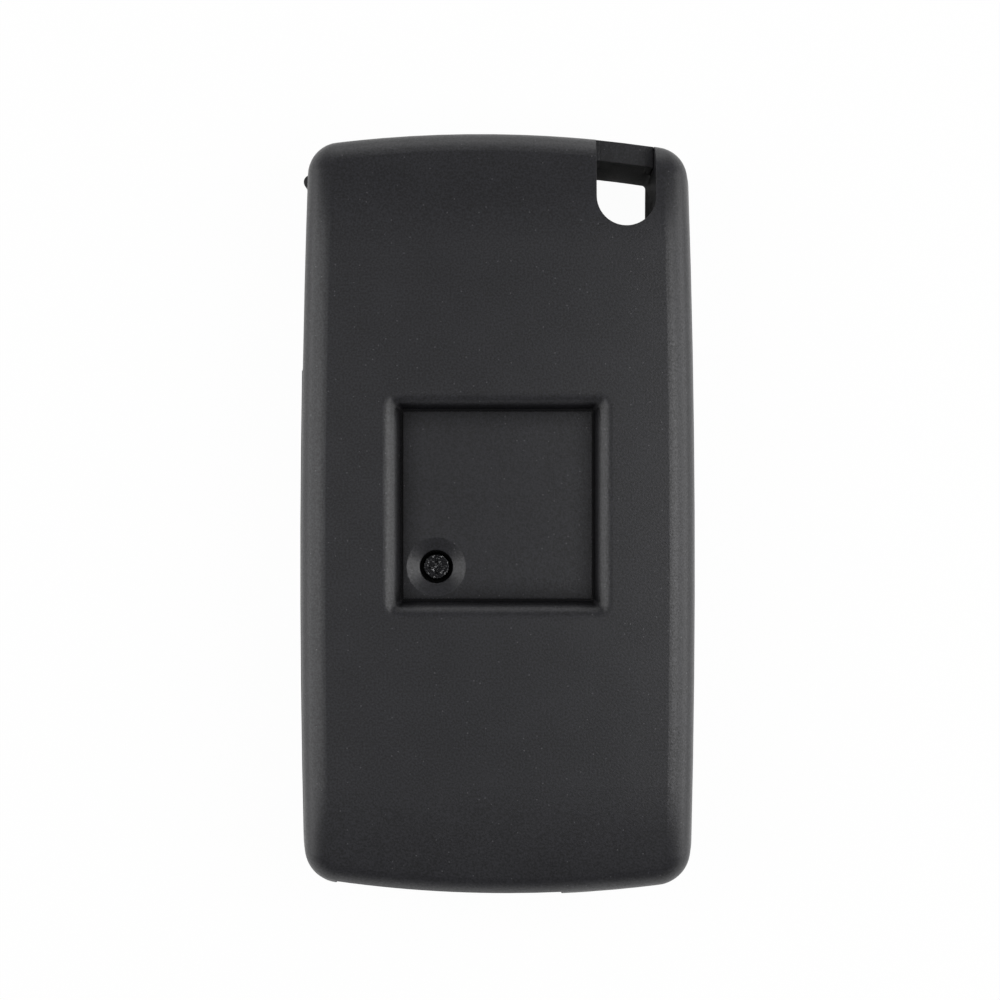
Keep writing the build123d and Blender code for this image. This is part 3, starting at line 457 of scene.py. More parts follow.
@dataclass(frozen=True)
class WorkedMetal(Finish):
    """Bare or plated metal with the fine lines that its making leaves.

    Attributes:
        dark: Colour in the lines, where plating is thin or dirt stays.
        line_mm: Distance between the lines.
        relief_mm: Depth of the lines.
        lay: Direction of the lines.
        window: Part of the pattern over which the dark colour turns into the bright one.
    """

    dark: str
    line_mm: float
    relief_mm: float
    lay: Lay = Lay.NONE
    window: tuple[float, float] = ROUGH_WINDOW

    def build(self) -> bpy.types.Material:
        """Draw the lines out along their lay, in colour, roughness and relief.

        Returns:
            The new material.
        """
        material, tree, coords = self.start()
        stretched = add_node(tree, "ShaderNodeMapping", {
            "Vector": coords, "Scale": self.lay.value,
        }).outputs["Vector"]
        lines = add_node(tree, "ShaderNodeTexNoise", {
            "Vector": stretched, "Scale": 1 / (self.line_mm * MM), "Detail": 3.0, "Roughness": 0.6,
        }).outputs["Fac"]
        spread = add_node(tree, "ShaderNodeMapRange", {
            "Value": lines, "From Min": self.window[0], "From Max": self.window[1],
        }).outputs["Result"]
        colour = add_node(tree, "ShaderNodeMix", {
            0: spread, MIX_A: linear(self.dark), MIX_B: linear(self.colour),
        }, data_type="RGBA").outputs[MIX_OUT]
        rough = add_node(tree, "ShaderNodeMapRange", {
            "Value": lines, "From Min": ROUGH_WINDOW[0], "From Max": ROUGH_WINDOW[1],
            "To Min": self.roughness + LINE_ROUGH[0], "To Max": self.roughness + LINE_ROUGH[1],
        }).outputs["Result"]
        bump = add_node(tree, "ShaderNodeBump", {
            "Height": lines, "Distance": self.relief_mm * MM,
        }).outputs["Normal"]
        self.close(tree, {"Base Color": colour, "Roughness": rough, "Normal": bump, "Metallic": 1.0})
        return material


# Black ABS from a spark-eroded mould: a matt grain that breaks the light into flecks, with painted shade in
# its closed corners
SPARK_ERODED_ABS = MouldedPlastic(
    "spark_eroded_abs", "#0E0E11", 0.37, "#27272B", 0.2, 0.013, speck=0.3, corner_shade_keep=0.2,
)
# Black glass-filled nylon, moulded satin: a little glossier, with a faint flow pattern
SATIN_GLASS_NYLON = MouldedPlastic("satin_glass_nylon", "#29292A", 0.42, "#323233", 0.35, 0.006)
# Black ABS from a lightly blasted mould: smooth soft sheen on the buttons
SOFT_SATIN_ABS = MouldedPlastic("soft_satin_abs", "#2C2C2E", 0.38, "#333335", 0.18, 0.004)
# Grey silicone, press moulded: soft, dull and slightly cloudy
MOULDED_SILICONE = MouldedPlastic("moulded_silicone", "#6A6A6C", 0.6, "#77777A", 0.4, 0.004, ior=1.41)
# Fire-proof nylon of the switches, moulded plain
SWITCH_NYLON = MouldedPlastic("moulded_switch_nylon", "#3B3B3B", 0.5, "#444443", 0.2, 0.004)
# Pale acetal of the switch plungers: slightly waxy
PLUNGER_ACETAL = MouldedPlastic("moulded_acetal", "#C9C4B8", 0.4, "#D6D2C7", 0.3, 0.002)
# Epoxy package of the chip, with the fine matt grain of its transfer mould
CHIP_EPOXY = MouldedPlastic("transfer_moulded_epoxy", "#242424", 0.55, "#2D2D2D", 0.12, 0.005)
# Ferrite of the coil's bobbin: pressed and sintered, dark with a stony grain
SINTERED_FERRITE = MouldedPlastic("sintered_ferrite", "#3C3936", 0.65, "#4A4641", 0.15, 0.01)
# Fired ceramic of the chip capacitors: tan and fine-grained
FIRED_CERAMIC = MouldedPlastic("fired_ceramic", "#8E7258", 0.5, "#A0866A", 0.2, 0.004)
# Glass-epoxy laminate under green solder resist: glossy, with the weave just showing
SOLDER_RESIST = MouldedPlastic("solder_resist_laminate", "#1F6B3A", 0.28, "#2B7D47", 0.9, 0.004)
# Carbon steel screw under black zinc: dark, with bright glints where the plating is worn
BLACK_ZINC_STEEL = WorkedMetal(
    "black_zinc_steel", "#DADADC", 0.26, "#29292B", 0.25, 0.05, window=(0.56, 0.75),
)
# Blade steel, ground along its length and nickel plated: fine bright lines
GROUND_NICKEL_STEEL = WorkedMetal(
    "ground_nickel_steel", "#C6C5C2", 0.3, "#A5A4A2", 0.08, 0.002, Lay.ALONG_Y,
)
# Rolled steel of the pin: plain, slightly dull
ROLLED_STEEL = WorkedMetal("rolled_steel", "#B5B5B5", 0.35, "#939393", 0.12, 0.002, Lay.ALONG_Z)
# Patented spring wire, drawn and oiled: grey with a low sheen
DRAWN_SPRING_WIRE = WorkedMetal("drawn_spring_wire", "#9B9B9D", 0.36, "#7B7B7D", 0.12, 0.002)
# Drawn can of the crystal, bright plated
PLATED_CAN = WorkedMetal("drawn_plated_can", "#C9C8C2", 0.25, "#B2B1AB", 0.3, 0.002)
# Pressed steel of the coin cell under nickel: even and softly mirror-like
PRESSED_NICKEL_STEEL = WorkedMetal("pressed_nickel_steel", "#CBCAC7", 0.24, "#B4B3B0", 0.3, 0.002)
# Enamelled copper wire of the winding: warm and glossy, with fine lines along it
ENAMELLED_COPPER = WorkedMetal("enamelled_copper_wire", "#C07A45", 0.3, "#8E5530", 0.1, 0.001)
# Tin solder and tinned ends: bright, slightly frosted where it froze
REFLOWED_TIN = WorkedMetal("reflowed_tin", "#C6C7C8", 0.3, "#A9AAAC", 0.15, 0.003)
# Copper tracks under solder resist: glossy as the board, a little paler
RESIST_OVER_COPPER = MouldedPlastic("resist_over_copper", "#2E8A4C", 0.26, "#3B9A59", 0.5, 0.002)
# Pad-printed ink of the button symbols: pale, matt and slightly uneven
PAD_PRINTED_INK = MouldedPlastic("pad_printed_ink", "#D8D8D4", 0.5, "#E4E4E0", 0.12, 0.002)
# Stamped spring strip of the contacts, rolled then plated
STAMPED_SPRING_STRIP = WorkedMetal(
    "stamped_spring_strip", "#C3C1BA", 0.28, "#A3A19B", 0.1, 0.002, Lay.ALONG_Y,
)


def dress(node: str, finish: Finish) -> None:
    """Give a CAD node its finish.

    Args:
        node: Name of the node.
        finish: Its finish.
    """
    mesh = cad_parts[node].data
    mesh.materials.clear()
    mesh.materials.append(finish.material())
    LOG.info("%s wears %s", node, finish.name)


@dataclass
class CaseShells:
    """The two covers and the screw that holds them together.

    Attributes:
        covers: CAD nodes of the covers.
        thread_length_mm: Length of the screw's thread.
        thread_pitch_mm: Distance between its turns.
        thread_r_mm: Radius at its roots and over its crests.
        thread_steps: Steps round each turn.
        thread_half: Half the width of a turn's foot, as a share of the pitch.
        thread_fade: Rise of the thread at its ends, in full heights to a turn.
        thread_least: Least height of the thread, as a share of the full one.
        bar_from_mm: Place along the key behind which the keyring bar lies.
        bar_slant: Shift of the bar's edges along the key for each millimetre across it.
        bar_ends_mm: For each end of the bar, the places across the key of its face, of its
            chamfer's upper edge, and of the new face that nearly meets the slot's wall.
        bar_near_mm: How near to such a face or edge the CAD's corners lie.
        bar_overlap: Start of a slip inside the bar, as a share of the chamfer's width.
        bar_scale: Size of a slip against the bar, so that no two faces share a plane.
    """

    covers: tuple[str, ...] = ("rear_cover", "front_cover")
    thread_length_mm: float = 6.4
    thread_pitch_mm: float = 0.7
    thread_r_mm: tuple[float, float] = (0.76, 0.83)
    thread_steps: int = 20
    thread_half: float = 0.42
    thread_fade: float = 3.0
    thread_least: float = 0.1
    bar_from_mm: float = 31.0
    bar_slant: float = -0.124
    bar_ends_mm: tuple[tuple[float, float, float], ...] = ((9.605, 9.905, 9.5), (14.655, 14.355, 15.1))
    bar_near_mm: float = 0.01
    bar_overlap: float = 0.05
    bar_scale: float = 0.998

    def build(self) -> None:
        """Dress the covers and the screw, fill the bar's ends and cut the screw's thread."""
        for node in self.covers:
            dress(node, SPARK_ERODED_ABS)
        dress("case_screw", BLACK_ZINC_STEEL)
        self.fill_bar_ends()
        self.cut_thread()

    def fill_bar_ends(self) -> None:
        """Carry the keyring bar's chamfered ends on to the slot's walls."""
        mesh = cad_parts["front_cover"].data
        shell = Shell("keyring_bar_ends")
        for face, edge, wall in self.bar_ends_mm:
            spots = set()
            for vert in mesh.vertices:
                x, y, z = vert.co / MM
                near = min(abs(x - face), abs(x - edge)) < self.bar_near_mm
                if near and y > self.bar_from_mm:
                    spots.add((round(y + self.bar_slant * (face - x), 3), round(z, 3)))
            middle = [sum(axis) / len(spots) for axis in zip(*spots)]
            profile = sorted(spots, key=lambda spot: math.atan2(spot[1] - middle[1], spot[0] - middle[0]))
            inner = [[m + self.bar_scale * (v - m) for v, m in zip(spot, middle)] for spot in profile]
            places = (edge + self.bar_overlap * (edge - face), wall)
            shell.loft([
                [Vector((x, y + self.bar_slant * (x - face), z)) for y, z in inner] for x in places
            ])
        shell.fit("case", SPARK_ERODED_ABS)

    def cut_thread(self) -> None:
        """Run a sharp thread round the screw's shank, fading out at both ends."""
        low, _, centre = node_box("case_screw")
        shell = Shell("screw_thread")
        root_r, crest_r = self.thread_r_mm
        count = round(self.thread_length_mm / self.thread_pitch_mm * self.thread_steps)
        rings = []
        for i in range(count + 1):
            angle = math.tau * i / self.thread_steps
            z = low.z + self.thread_pitch_mm + self.thread_length_mm * i / count
            turns_in = min(i, count - i) / self.thread_steps
            rise = max(min(1.0, self.thread_fade * turns_in), self.thread_least)
            crest = root_r + (crest_r - root_r) * rise
            out = Vector((math.cos(angle), math.sin(angle), 0.0))
            foot = Vector((centre.x, centre.y, z))
            up = Vector((0.0, 0.0, self.thread_half * self.thread_pitch_mm * rise))
            root = root_r * out
            rings.append([foot + root - up, foot + crest * out, foot + root + up])
        shell.loft(rings)
        shell.fit("case", BLACK_ZINC_STEEL)


@dataclass
class FlipMechanism:
    """Carrier, blade, pin, release button, spring and the spring's anchor.

    Attributes:
        finishes: Finish of each CAD node that stays.
        release_mm: How far the release button slides in; not used.
    """

    finishes: dict[str, Finish] = field(default_factory=lambda: {
        "blade_carrier": SATIN_GLASS_NYLON,
        "key_blade": GROUND_NICKEL_STEEL,
        "blade_pin": ROLLED_STEEL,
        "release_button": SOFT_SATIN_ABS,
        "pivot_cap": SATIN_GLASS_NYLON,
    })
    release_mm: float = 1.8

    def build(self) -> None:
        """Dress the pieces of the mechanism and copy the spring."""
        for node, finish in self.finishes.items():
            dress(node, finish)
        self.wind_spring()

    def wind_spring(self) -> None:
        """Copy the spring from its CAD node onto the blade's body, in drawn spring wire, and hide the node.
        """
        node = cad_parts["flip_spring"]
        mesh = node.data.copy()
        mesh.materials.clear()
        mesh.materials.append(DRAWN_SPRING_WIRE.material())
        coil = stand("flip_spring_coil", mesh)
        coil.matrix_world = node.matrix_world
        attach(coil, "blade")
        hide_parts("flip_spring")
        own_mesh(coil)
        LOG.info("%s: %d faces, %s", coil.name, len(mesh.polygons), DRAWN_SPRING_WIRE.name)


class Symbol(Enum):
    """Generic signs on the buttons, by the name of the button."""

    CLOSED_LOCK = "lock"
    BOOT_LID = "boot"
    OPEN_LOCK = "unlock"


@dataclass
class ButtonSet:
    """Three buttons with their printed signs, the mat behind them and their switches.

    Attributes:
        ink_mm: Thickness of the print.
        line_mm: Width of its lines.
        lock_mm: Width, height and corners' radius of a padlock's body.
        lock_drop_mm: How far its middle is below the sign's.
        shackle_mm: Radius of a padlock's shackle.
        shackle_rise: Height of its bend over the body, as a share of that radius.
        leg_ends_mm: How far a shackle's leg enters the body, and how far a free leg hangs down.
        car_mm: Length of the car.
        cover_mm: Thickness of a switch's metal cover.
        cover_hole_mm: Radius of the hole in it.
        cover_reach: Reach of its cut corners, as a share of half its width.
        cover_steps: Steps round it and round its hole.
        leg_mm: Width of a switch's legs and their corners' radius.
    """

    ink_mm: float = 0.03
    line_mm: float = 0.4
    lock_mm: tuple[float, float, float] = (3.2, 2.4, 0.3)
    lock_drop_mm: float = 0.75
    shackle_mm: float = 1.0
    shackle_rise: float = 0.7
    leg_ends_mm: tuple[float, float] = (0.1, 0.2)
    car_mm: float = 6.0
    cover_mm: float = 0.1
    cover_hole_mm: float = 1.55
    cover_reach: float = 1.3
    cover_steps: int = 32
    leg_mm: tuple[float, float] = (0.7, 0.05)

    def build(self) -> None:
        """Dress the buttons, switches and mat, print the signs and cover the switches."""
        dress("button_mat", MOULDED_SILICONE)
        for symbol in Symbol:
            name = symbol.value
            dress(f"{name}_button", SOFT_SATIN_ABS)
            dress(f"{name}_switch_body", SWITCH_NYLON)
            dress(f"{name}_switch_plunger", PLUNGER_ACETAL)
            self.print_sign(symbol)
            self.cover_switch(name)

    def sign(self, symbol: Symbol) -> list[Points]:
        """Outlines of a sign, as seen from the front with its top towards the release button.

        Args:
            symbol: The sign.

        Returns:
            Outlines round the sign's middle.
        """
        if symbol is Symbol.BOOT_LID:
            return self.car()
        top = self.lock_mm[1] / 2 - self.lock_drop_mm
        rise = self.shackle_rise * self.shackle_mm
        bend = moved(circle(self.shackle_mm, 10, 0.0, 180.0), 0.0, rise)
        sunk, free = self.leg_ends_mm
        first, last = (Vector((x, -sunk)) for x in (self.shackle_mm, -self.shackle_mm))
        swing = 0.0
        if symbol is Symbol.OPEN_LOCK:
            first.y = rise - free
            swing = 2 * self.shackle_mm
        path = moved([first] + bend + [last], swing, top)
        return [moved(rounded(*self.lock_mm), 0.0, -self.lock_drop_mm), stripe(path, self.line_mm)]

    def car(self) -> list[Points]:
        """Side view of a plain car with its boot lid up, drawn in tenths of its length.

        Returns:
            Outlines of the body, the sill, the lid and the wheels.
        """
        unit = self.car_mm / 10
        sill_y, sill_x, wheel_x, wheel_y, wheel_r, pen = -1.2, 1.9, 3.2, -1.4, 0.95, 0.8
        side = [(-2.9, 0.9), (-1.4, 2.5), (1.7, 2.5), (3.1, 1.1), (5, 0.8), (5, sill_y)]
        lines = [
            [(-5, sill_y), (-5, 0.4)] + side,
            [(-sill_x, sill_y), (sill_x, sill_y)],
            [(3.3, 1.9), (5.2, 3.9)],
        ]
        paths = [[Vector((x * unit, y * unit)) for x, y in line] for line in lines]
        wheel = circle(wheel_r * unit, 16)
        wheels = [moved(wheel, x * unit, wheel_y * unit) for x in (-wheel_x, wheel_x)]
        return [stripe(path, pen * self.line_mm) for path in paths] + wheels

    def print_sign(self, symbol: Symbol) -> None:
        """Print a sign on its button.

        Args:
            symbol: The sign.
        """
        low, _, centre = node_box(f"{symbol.value}_button")
        shell = Shell(f"{symbol.value}_sign")
        for outline in self.sign(symbol):
            mirrored = [Vector((centre.x - p.x, centre.y + p.y)) for p in outline]
            shell.slab(mirrored, low.z - self.ink_mm, low.z)
        shell.fit(symbol.value, PAD_PRINTED_INK)

    def cover_switch(self, name: str) -> None:
        """Put the sprung metal cover, with its round hole and four legs, on a switch.

        Args:
            name: Name of the button.
        """
        low, high, centre = node_box(f"{name}_switch_body")
        half = (high.x - low.x) / 2
        top = low.z - self.cover_mm
        square = [
            p * min(half / max(abs(p.x), abs(p.y)), self.cover_reach * half)
            for p in circle(1.0, self.cover_steps)
        ]
        hole = circle(self.cover_hole_mm, self.cover_steps)
        shell = Shell(f"{name}_switch_cover")
        shell.washer(moved(square, centre.x, centre.y), moved(hole, centre.x, centre.y), top, low.z)
        leg = rounded(2 * self.cover_mm, *self.leg_mm, 2)
        for side in (-1, 1):
            for end in (-1, 1):
                x = centre.x + side * (half + self.cover_mm)
                y = centre.y + end * (half - self.leg_mm[0])
                shell.slab(moved(leg, x, y), top, high.z)
        shell.fit("case", STAMPED_SPRING_STRIP)


@dataclass
class CircuitBoard:
    """Board, what is soldered to it, and the cell with its contacts.

    Attributes:
        finishes: Finish of each CAD node.
        wire_mm: Radius of the coil's wire.
        wire_pitch_mm: Distance between its turns.
        waist_mm: Depth of the bobbin's waist.
        waist_corner_mm: Radius of the winding's corners.
        flange_mm: Width of the bobbin's flanges.
        cap_end_mm: Width of a capacitor's tinned end, how far it stands out, and its corners' radius.
        cap_end_crown: Size of its top against its foot.
        solder_mm: Height of a solder joint.
        solder_corner: Radius of a joint's corners, as a share of its shorter side.
        solder_levels: Height and size of a joint's rings, as shares of its own.
        side_joints_mm: For nodes soldered at their left and right, a joint's width and length, and how
            far its middle lies outside the piece.
        end_joints_mm: The same for nodes soldered at their ends along the key.
        lead_pitch_mm: Distance between the chip's leads.
        track_mm: Width of a track.
        track_thick_mm: How far it stands out under the resist.
        track_run_mm: Straight start of the middle track, how much longer it is on each one further
            out, and the reach of the slanted ends.
        track_fan: Spread of those ends along the key, in widths between two tracks.
        via: Radius of a via and of its hole in widths of a track, and its height in heights of one.
        via_steps: Steps round it.
        plus_mm: Arm and half width of the cell's plus sign, its distance from the middle, and how
            far it stands out.
    """

    finishes: dict[str, Finish] = field(default_factory=lambda: {
        "circuit_board": SOLDER_RESIST,
        "controller_chip": CHIP_EPOXY,
        "transponder_coil": SINTERED_FERRITE,
        "crystal": PLATED_CAN,
        "chip_capacitors": FIRED_CERAMIC,
        "coin_cell": PRESSED_NICKEL_STEEL,
        "positive_contact": STAMPED_SPRING_STRIP,
        "negative_contact": STAMPED_SPRING_STRIP,
    })
    wire_mm: float = 0.07
    wire_pitch_mm: float = 0.16
    waist_mm: float = 0.4
    waist_corner_mm: float = 0.3
    flange_mm: float = 1.1
    cap_end_mm: tuple[float, float, float] = (0.35, 0.03, 0.06)
    cap_end_crown: float = 0.92
    solder_mm: float = 0.14
    solder_corner: float = 0.45
    solder_levels: tuple[tuple[float, float], ...] = ((0.0, 1.0), (0.4, 0.9), (1.0, 0.6))
    side_joints_mm: dict[str, tuple[float, float, float]] = field(default_factory=lambda: {
        "controller_chip": (0.7, 0.62, 0.0),
        "chip_capacitors": (0.5, 0.9, 0.12),
        "transponder_coil": (0.7, 2.0, 0.1),
    })
    end_joints_mm: dict[str, tuple[float, float, float]] = field(default_factory=lambda: {
        "crystal": (1.4, 0.7, 0.1),
        "positive_contact": (3.6, 0.6, 0.0),
    })
    lead_pitch_mm: float = 9.0 / 7
    track_mm: float = 0.25
    track_thick_mm: float = 0.02
    track_run_mm: tuple[float, float, float] = (1.2, 0.35, 0.9)
    track_fan: float = 0.6
    via: tuple[float, float, float] = (1.3, 0.6, 1.5)
    via_steps: int = 16
    plus_mm: tuple[float, float, float, float] = (1.1, 0.22, 5.0, 0.05)

    def build(self) -> None:
        """Dress the board and its pieces, then wind the coil, solder and mark them."""
        for node, finish in self.finishes.items():
            dress(node, finish)
        self.wind_coil()
        self.end_capacitors()
        self.solder()
        self.lay_tracks()
        self.mark_cell()

    def wind_coil(self) -> None:
        """Wind enamelled wire round the bobbin's waist."""
        low, high, centre = node_box("transponder_coil")
        inset = 2 * (self.waist_mm - self.wire_mm)
        turn = rounded(high.y - low.y - inset, high.z - low.z - inset, self.waist_corner_mm, 3)
        start = low.x + self.flange_mm + self.wire_mm
        turns = int((high.x - low.x - 2 * self.flange_mm - 2 * self.wire_mm) / self.wire_pitch_mm)
        count = len(turn)
        middle = Vector((0.0, centre.y, centre.z))
        across = Vector((1.0, 0.0, 0.0))
        section = circle(self.wire_mm, 6)
        rings = []
        for i in range(turns * count + 1):
            here = turn[i % count]
            spot = middle + Vector((start + self.wire_pitch_mm * i / count, here.x, here.y))
            out = Vector((0.0, here.x, here.y)).normalized()
            rings.append([spot + out * p.x + across * p.y for p in section])
        shell = Shell("coil_winding")
        shell.loft(rings)
        shell.fit("case", ENAMELLED_COPPER)

    def capacitor_boxes(self) -> list[tuple[Vector, Vector]]:
        """Find the small capacitors in their common node.

        Returns:
            Lowest and highest corner of each one, in millimetres.
        """
        mesh = bmesh.new()
        mesh.from_mesh(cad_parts["chip_capacitors"].data)
        bmesh.ops.remove_doubles(mesh, verts=mesh.verts, dist=WELD_MM * MM)
        boxes = []
        left = set(mesh.verts)
        while left:
            group, edge = set(), {min(left, key=lambda vert: vert.index)}
            while edge:
                group |= edge
                edge = {e.other_vert(v) for v in edge for e in v.link_edges} - group
            left -= group
            axes = list(zip(*(v.co / MM for v in group)))
            boxes.append((Vector([min(a) for a in axes]), Vector([max(a) for a in axes])))
        mesh.free()
        return boxes

    def end_capacitors(self) -> None:
        """Put the tinned ends on the capacitors."""
        shell = Shell("capacitor_ends")
        inside, proud, corner = self.cap_end_mm
        width = inside + proud
        for low, high in self.capacitor_boxes():
            end = rounded(width, high.y - low.y + 2 * proud, corner, 2)
            levels = [(low.z, 1.0), (high.z, 1.0), (high.z + proud, self.cap_end_crown)]
            for x in (low.x - proud, high.x - inside):
                shell.pillow(end, x + width / 2, (low.y + high.y) / 2, levels)
        shell.fit("case", REFLOWED_TIN)

    def chip_leads(self) -> list[float]:
        """Find the leads along the chip's two long sides.

        Returns:
            Place of each pair of leads along the key, in millimetres.
        """
        low, high, _ = node_box("controller_chip")
        leads = int((high.y - low.y) / self.lead_pitch_mm + 0.5)
        return [low.y + (i + 0.5) * (high.y - low.y) / leads for i in range(leads)]

    def solder_spots(self) -> list[tuple[float, float, float, float]]:
        """Find the soldered joints on the board's upper face.

        Returns:
            Centre and size of each one, in millimetres.
        """
        spots = []
        for node, (width, length, out) in self.side_joints_mm.items():
            low, high, centre = node_box(node)
            sides = [(low.x, high.x, centre.y)]
            if node == "controller_chip":
                sides = [(low.x, high.x, y) for y in self.chip_leads()]
            elif node == "chip_capacitors":
                sides = [(a.x, b.x, (a.y + b.y) / 2) for a, b in self.capacitor_boxes()]
            for left, right, y in sides:
                spots += [(left - out, y, width, length), (right + out, y, width, length)]
        for node, (width, length, out) in self.end_joints_mm.items():
            low, high, centre = node_box(node)
            spots += [(centre.x, y, width, length) for y in (low.y - out, high.y + out)]
        return spots

    def solder(self) -> None:
        """Raise a low frozen mound of solder at each joint."""
        board_z = node_box("circuit_board")[1].z
        levels = [(board_z + share * self.solder_mm, scale) for share, scale in self.solder_levels]
        shell = Shell("solder_joints")
        for x, y, width, length in self.solder_spots():
            mound = rounded(width, length, self.solder_corner * min(width, length), 4)
            shell.pillow(mound, x, y, levels)
        shell.fit("case", REFLOWED_TIN)

    def lay_tracks(self) -> None:
        """Lay copper tracks from the chip's leads under the resist, each to its own via."""
        board_z = node_box("circuit_board")[1].z
        low, high, _ = node_box("controller_chip")
        ring, hole = (circle(share * self.track_mm, self.via_steps) for share in self.via[:2])
        via_z = board_z + self.via[2] * self.track_thick_mm
        start, stagger, slant = self.track_run_mm
        shell = Shell("board_tracks")
        leads = self.chip_leads()
        for i, y in enumerate(leads):
            from_middle = i - (len(leads) - 1) / 2
            fan = self.track_fan * from_middle * 2 * self.track_mm
            for edge, side in ((low.x, -1), (high.x, 1)):
                reach = edge + side * (start + stagger * abs(from_middle))
                end = Vector((reach + side * slant, y + fan))
                path = [Vector((edge, y)), Vector((reach, y)), end]
                shell.slab(stripe(path, self.track_mm), board_z, board_z + self.track_thick_mm)
                shell.washer(moved(ring, *end), moved(hole, *end), board_z, via_z)
        shell.fit("case", RESIST_OVER_COPPER)

    def mark_cell(self) -> None:
        """Raise a plus sign on the cell's upper face, beside the contact."""
        _, high, centre = node_box("coin_cell")
        arm, half, out, proud = self.plus_mm
        cross = []
        for quarter in range(4):
            turn = math.radians(90 * quarter)
            cos, sin = math.cos(turn), math.sin(turn)
            for x, y in ((half, half), (half, arm), (-half, arm)):
                cross.append(Vector((x * cos - y * sin, x * sin + y * cos)))
        shell = Shell("cell_plus_sign")
        shell.slab(moved(cross, centre.x + out, centre.y), high.z, high.z + proud)
        shell.fit("case", PRESSED_NICKEL_STEEL)


@dataclass(frozen=True)
class SoftBox:
    """A square softbox that points at the key.

    Attributes:
        name: Name of the lamp.
        azimuth: Direction from the key in degrees, from +X towards +Y.
        elevation: Height above the floor in degrees.
        distance_mm: Distance from the key.
        side_mm: Width and height of its face.
        brightness: Brightness of its face, where one is white.
    """

    name: str
    azimuth: float
    elevation: float
    distance_mm: float
    side_mm: float
    brightness: float

    def hang(self) -> None:
        """Hang the lamp with its face towards the middle of the key's base."""
        turn, rise = math.radians(self.azimuth), math.radians(self.elevation)
        flat = math.cos(rise)
        out = Vector((math.cos(turn) * flat, math.sin(turn) * flat, math.sin(rise)))
        lamp = bpy.data.lights.new(self.name, "AREA")
        lamp.size = self.side_mm * MM
        lamp.energy = self.brightness * math.pi * lamp.size ** 2
        holder = stand(self.name, lamp)
        holder.location = out * self.distance_mm * MM
        holder.rotation_euler = out.to_track_quat("Z", "Y").to_euler()


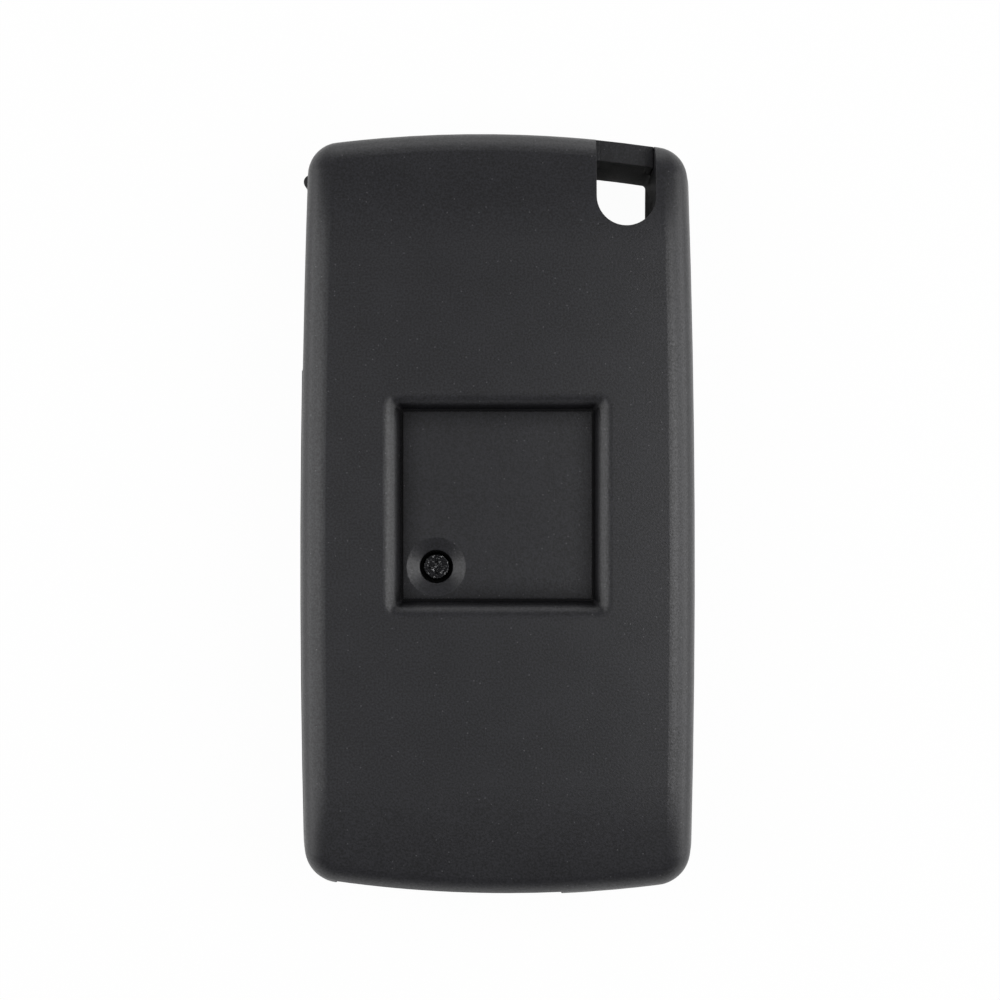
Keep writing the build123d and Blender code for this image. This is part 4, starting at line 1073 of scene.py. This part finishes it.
@dataclass
class Studio:
    """Pale floor, soft lamps, white surroundings and the camera over the key.

    Attributes:
        floor_mm: Half the side of the floor.
        floor_drop_mm: Gap between the key's lowest face and the floor.
        floor_colour: Colour of the floor as sRGB hex.
        floor_white: Share of plain white in what the camera and reflections see of the floor.
        shade_reach_mm: How far the key's shade reaches over the floor in reflections.
        deep_shade: Openness of the floor at which that shade is full.
        ambient: Strength of the even light from all round.
        walls: Heights, as shares of straight up, between which white walls dim in reflections.
        overhead: Brightness of the room above them, where one is white.
        camera_mm: Camera's place across and along the key, and its height over the floor.
        lens_mm: Focal length on a sensor 36 mm wide.
        lamps: Lamps round the key.
    """

    floor_mm: float = 1500.0
    floor_drop_mm: float = 0.02
    floor_colour: str = "#F4F4F2"
    floor_white: float = 0.97
    shade_reach_mm: float = 60.0
    deep_shade: float = 0.08
    ambient: float = 0.3
    walls: tuple[float, float] = (0.1, 0.45)
    overhead: float = 0.212
    camera_mm: tuple[float, float, float] = (0.24, 1.38, 216.0)
    lens_mm: float = 75.5
    lamps: tuple[SoftBox, ...] = (
        SoftBox("left_softbox", 180.0, 20.0, 260.0, 220.0, 1.7),
        SoftBox("right_softbox", 0.0, 20.0, 260.0, 220.0, 2.0),
        SoftBox("high_left_softbox", 180.0, 56.0, 240.0, 130.0, 2.3),
        SoftBox("high_right_softbox", 0.0, 60.0, 240.0, 130.0, 3.65),
        SoftBox("ring_end_softbox", 90.0, 18.0, 260.0, 220.0, 0.9),
        SoftBox("high_low_end_softbox", -90.0, 62.0, 260.0, 120.0, 0.2),
    )

    def seen_directly(self, tree: bpy.types.NodeTree) -> bpy.types.NodeSocket:
        """One for rays from the camera, a reflection or glass, and nought for soft light.

        Args:
            tree: Node tree of the floor or the world.

        Returns:
            The socket that says so.
        """
        path = add_node(tree, "ShaderNodeLightPath").outputs
        mirror = add_node(tree, "ShaderNodeMath", {
            0: path["Is Glossy Ray"], 1: path["Is Transmission Ray"],
        }, operation="MAXIMUM").outputs["Value"]
        return add_node(tree, "ShaderNodeMath", {
            0: path["Is Camera Ray"], 1: mirror,
        }, operation="MAXIMUM").outputs["Value"]

    def lay_floor(self) -> None:
        """Lay a pale floor that looks white and still takes the key's shadow."""
        half = self.floor_mm * MM
        level = -self.floor_drop_mm * MM
        corners = [(x * half, y * half, level) for x, y in ((-1, -1), (1, -1), (1, 1), (-1, 1))]
        mesh = bpy.data.meshes.new("floor")
        mesh.from_pydata(corners, [], [(0, 1, 2, 3)])
        floor = stand("floor", mesh)
        material, tree = start_material("pale_floor")
        card = add_node(tree, "ShaderNodeBsdfDiffuse", {"Color": linear(self.floor_colour)}).outputs["BSDF"]
        # Painted shadow: ambient occlusion dims the floor's white emission in reflections near the key
        openness = add_node(tree, "ShaderNodeAmbientOcclusion", {
            "Distance": self.shade_reach_mm * MM,
        }, samples=4).outputs["AO"]
        shade = add_node(tree, "ShaderNodeMapRange", {
            "Value": openness, "From Min": self.deep_shade,
        }).outputs["Result"]
        camera = add_node(tree, "ShaderNodeLightPath").outputs["Is Camera Ray"]
        strength = add_node(tree, "ShaderNodeMath", {
            0: camera, 1: shade,
        }, operation="MAXIMUM").outputs["Value"]
        white = add_node(tree, "ShaderNodeEmission", {"Strength": strength}).outputs["Emission"]
        share = add_node(tree, "ShaderNodeMath", {
            0: self.seen_directly(tree), 1: self.floor_white,
        }, operation="MULTIPLY").outputs["Value"]
        surface = add_node(tree, "ShaderNodeMixShader", {0: share, 1: card, 2: white}).outputs["Shader"]
        add_node(tree, "ShaderNodeOutputMaterial", {"Surface": surface})
        mesh.materials.append(material)

    def light(self) -> None:
        """Hang the lamps and set the surroundings."""
        for lamp in self.lamps:
            lamp.hang()
        world = bpy.data.worlds.new("studio_surroundings")
        bpy.context.scene.world = world
        world.use_nodes = True
        tree = world.node_tree
        tree.nodes.clear()
        soft = add_node(tree, "ShaderNodeBackground", {"Strength": self.ambient}).outputs["Background"]
        height = add_node(tree, "ShaderNodeSeparateXYZ", {
            "Vector": add_node(tree, "ShaderNodeTexCoord").outputs["Generated"],
        }).outputs["Z"]
        wall = add_node(tree, "ShaderNodeMapRange", {
            "Value": height, "From Min": self.walls[0], "From Max": self.walls[1],
            "To Min": 1.0, "To Max": self.overhead,
        }).outputs["Result"]
        seen = add_node(tree, "ShaderNodeBackground", {"Strength": wall}).outputs["Background"]
        surface = add_node(tree, "ShaderNodeMixShader", {
            0: self.seen_directly(tree), 1: soft, 2: seen,
        }).outputs["Shader"]
        add_node(tree, "ShaderNodeOutputWorld", {"Surface": surface})

    def place_camera(self) -> None:
        """Place the camera straight over the key, as in the photograph."""
        lens = bpy.data.cameras.new("photo_camera")
        lens.lens = self.lens_mm
        holder = stand("photo_camera", lens)
        holder.location = Vector(self.camera_mm) * MM
        bpy.context.scene.camera = holder

    def build(self) -> None:
        """Set up the floor, the light and the camera."""
        self.lay_floor()
        self.light()
        self.place_camera()


def main() -> None:
    """Build the key's looks and the studio round it."""
    logging.basicConfig(level=logging.INFO, format="%(message)s")
    bpy.context.scene.view_settings.view_transform = "Standard"
    for assembly in (CaseShells(), FlipMechanism(), ButtonSet(), CircuitBoard()):
        assembly.build()
        LOG.info("%s done", type(assembly).__name__)
    Studio().build()


if __name__ == "__main__":
    main()
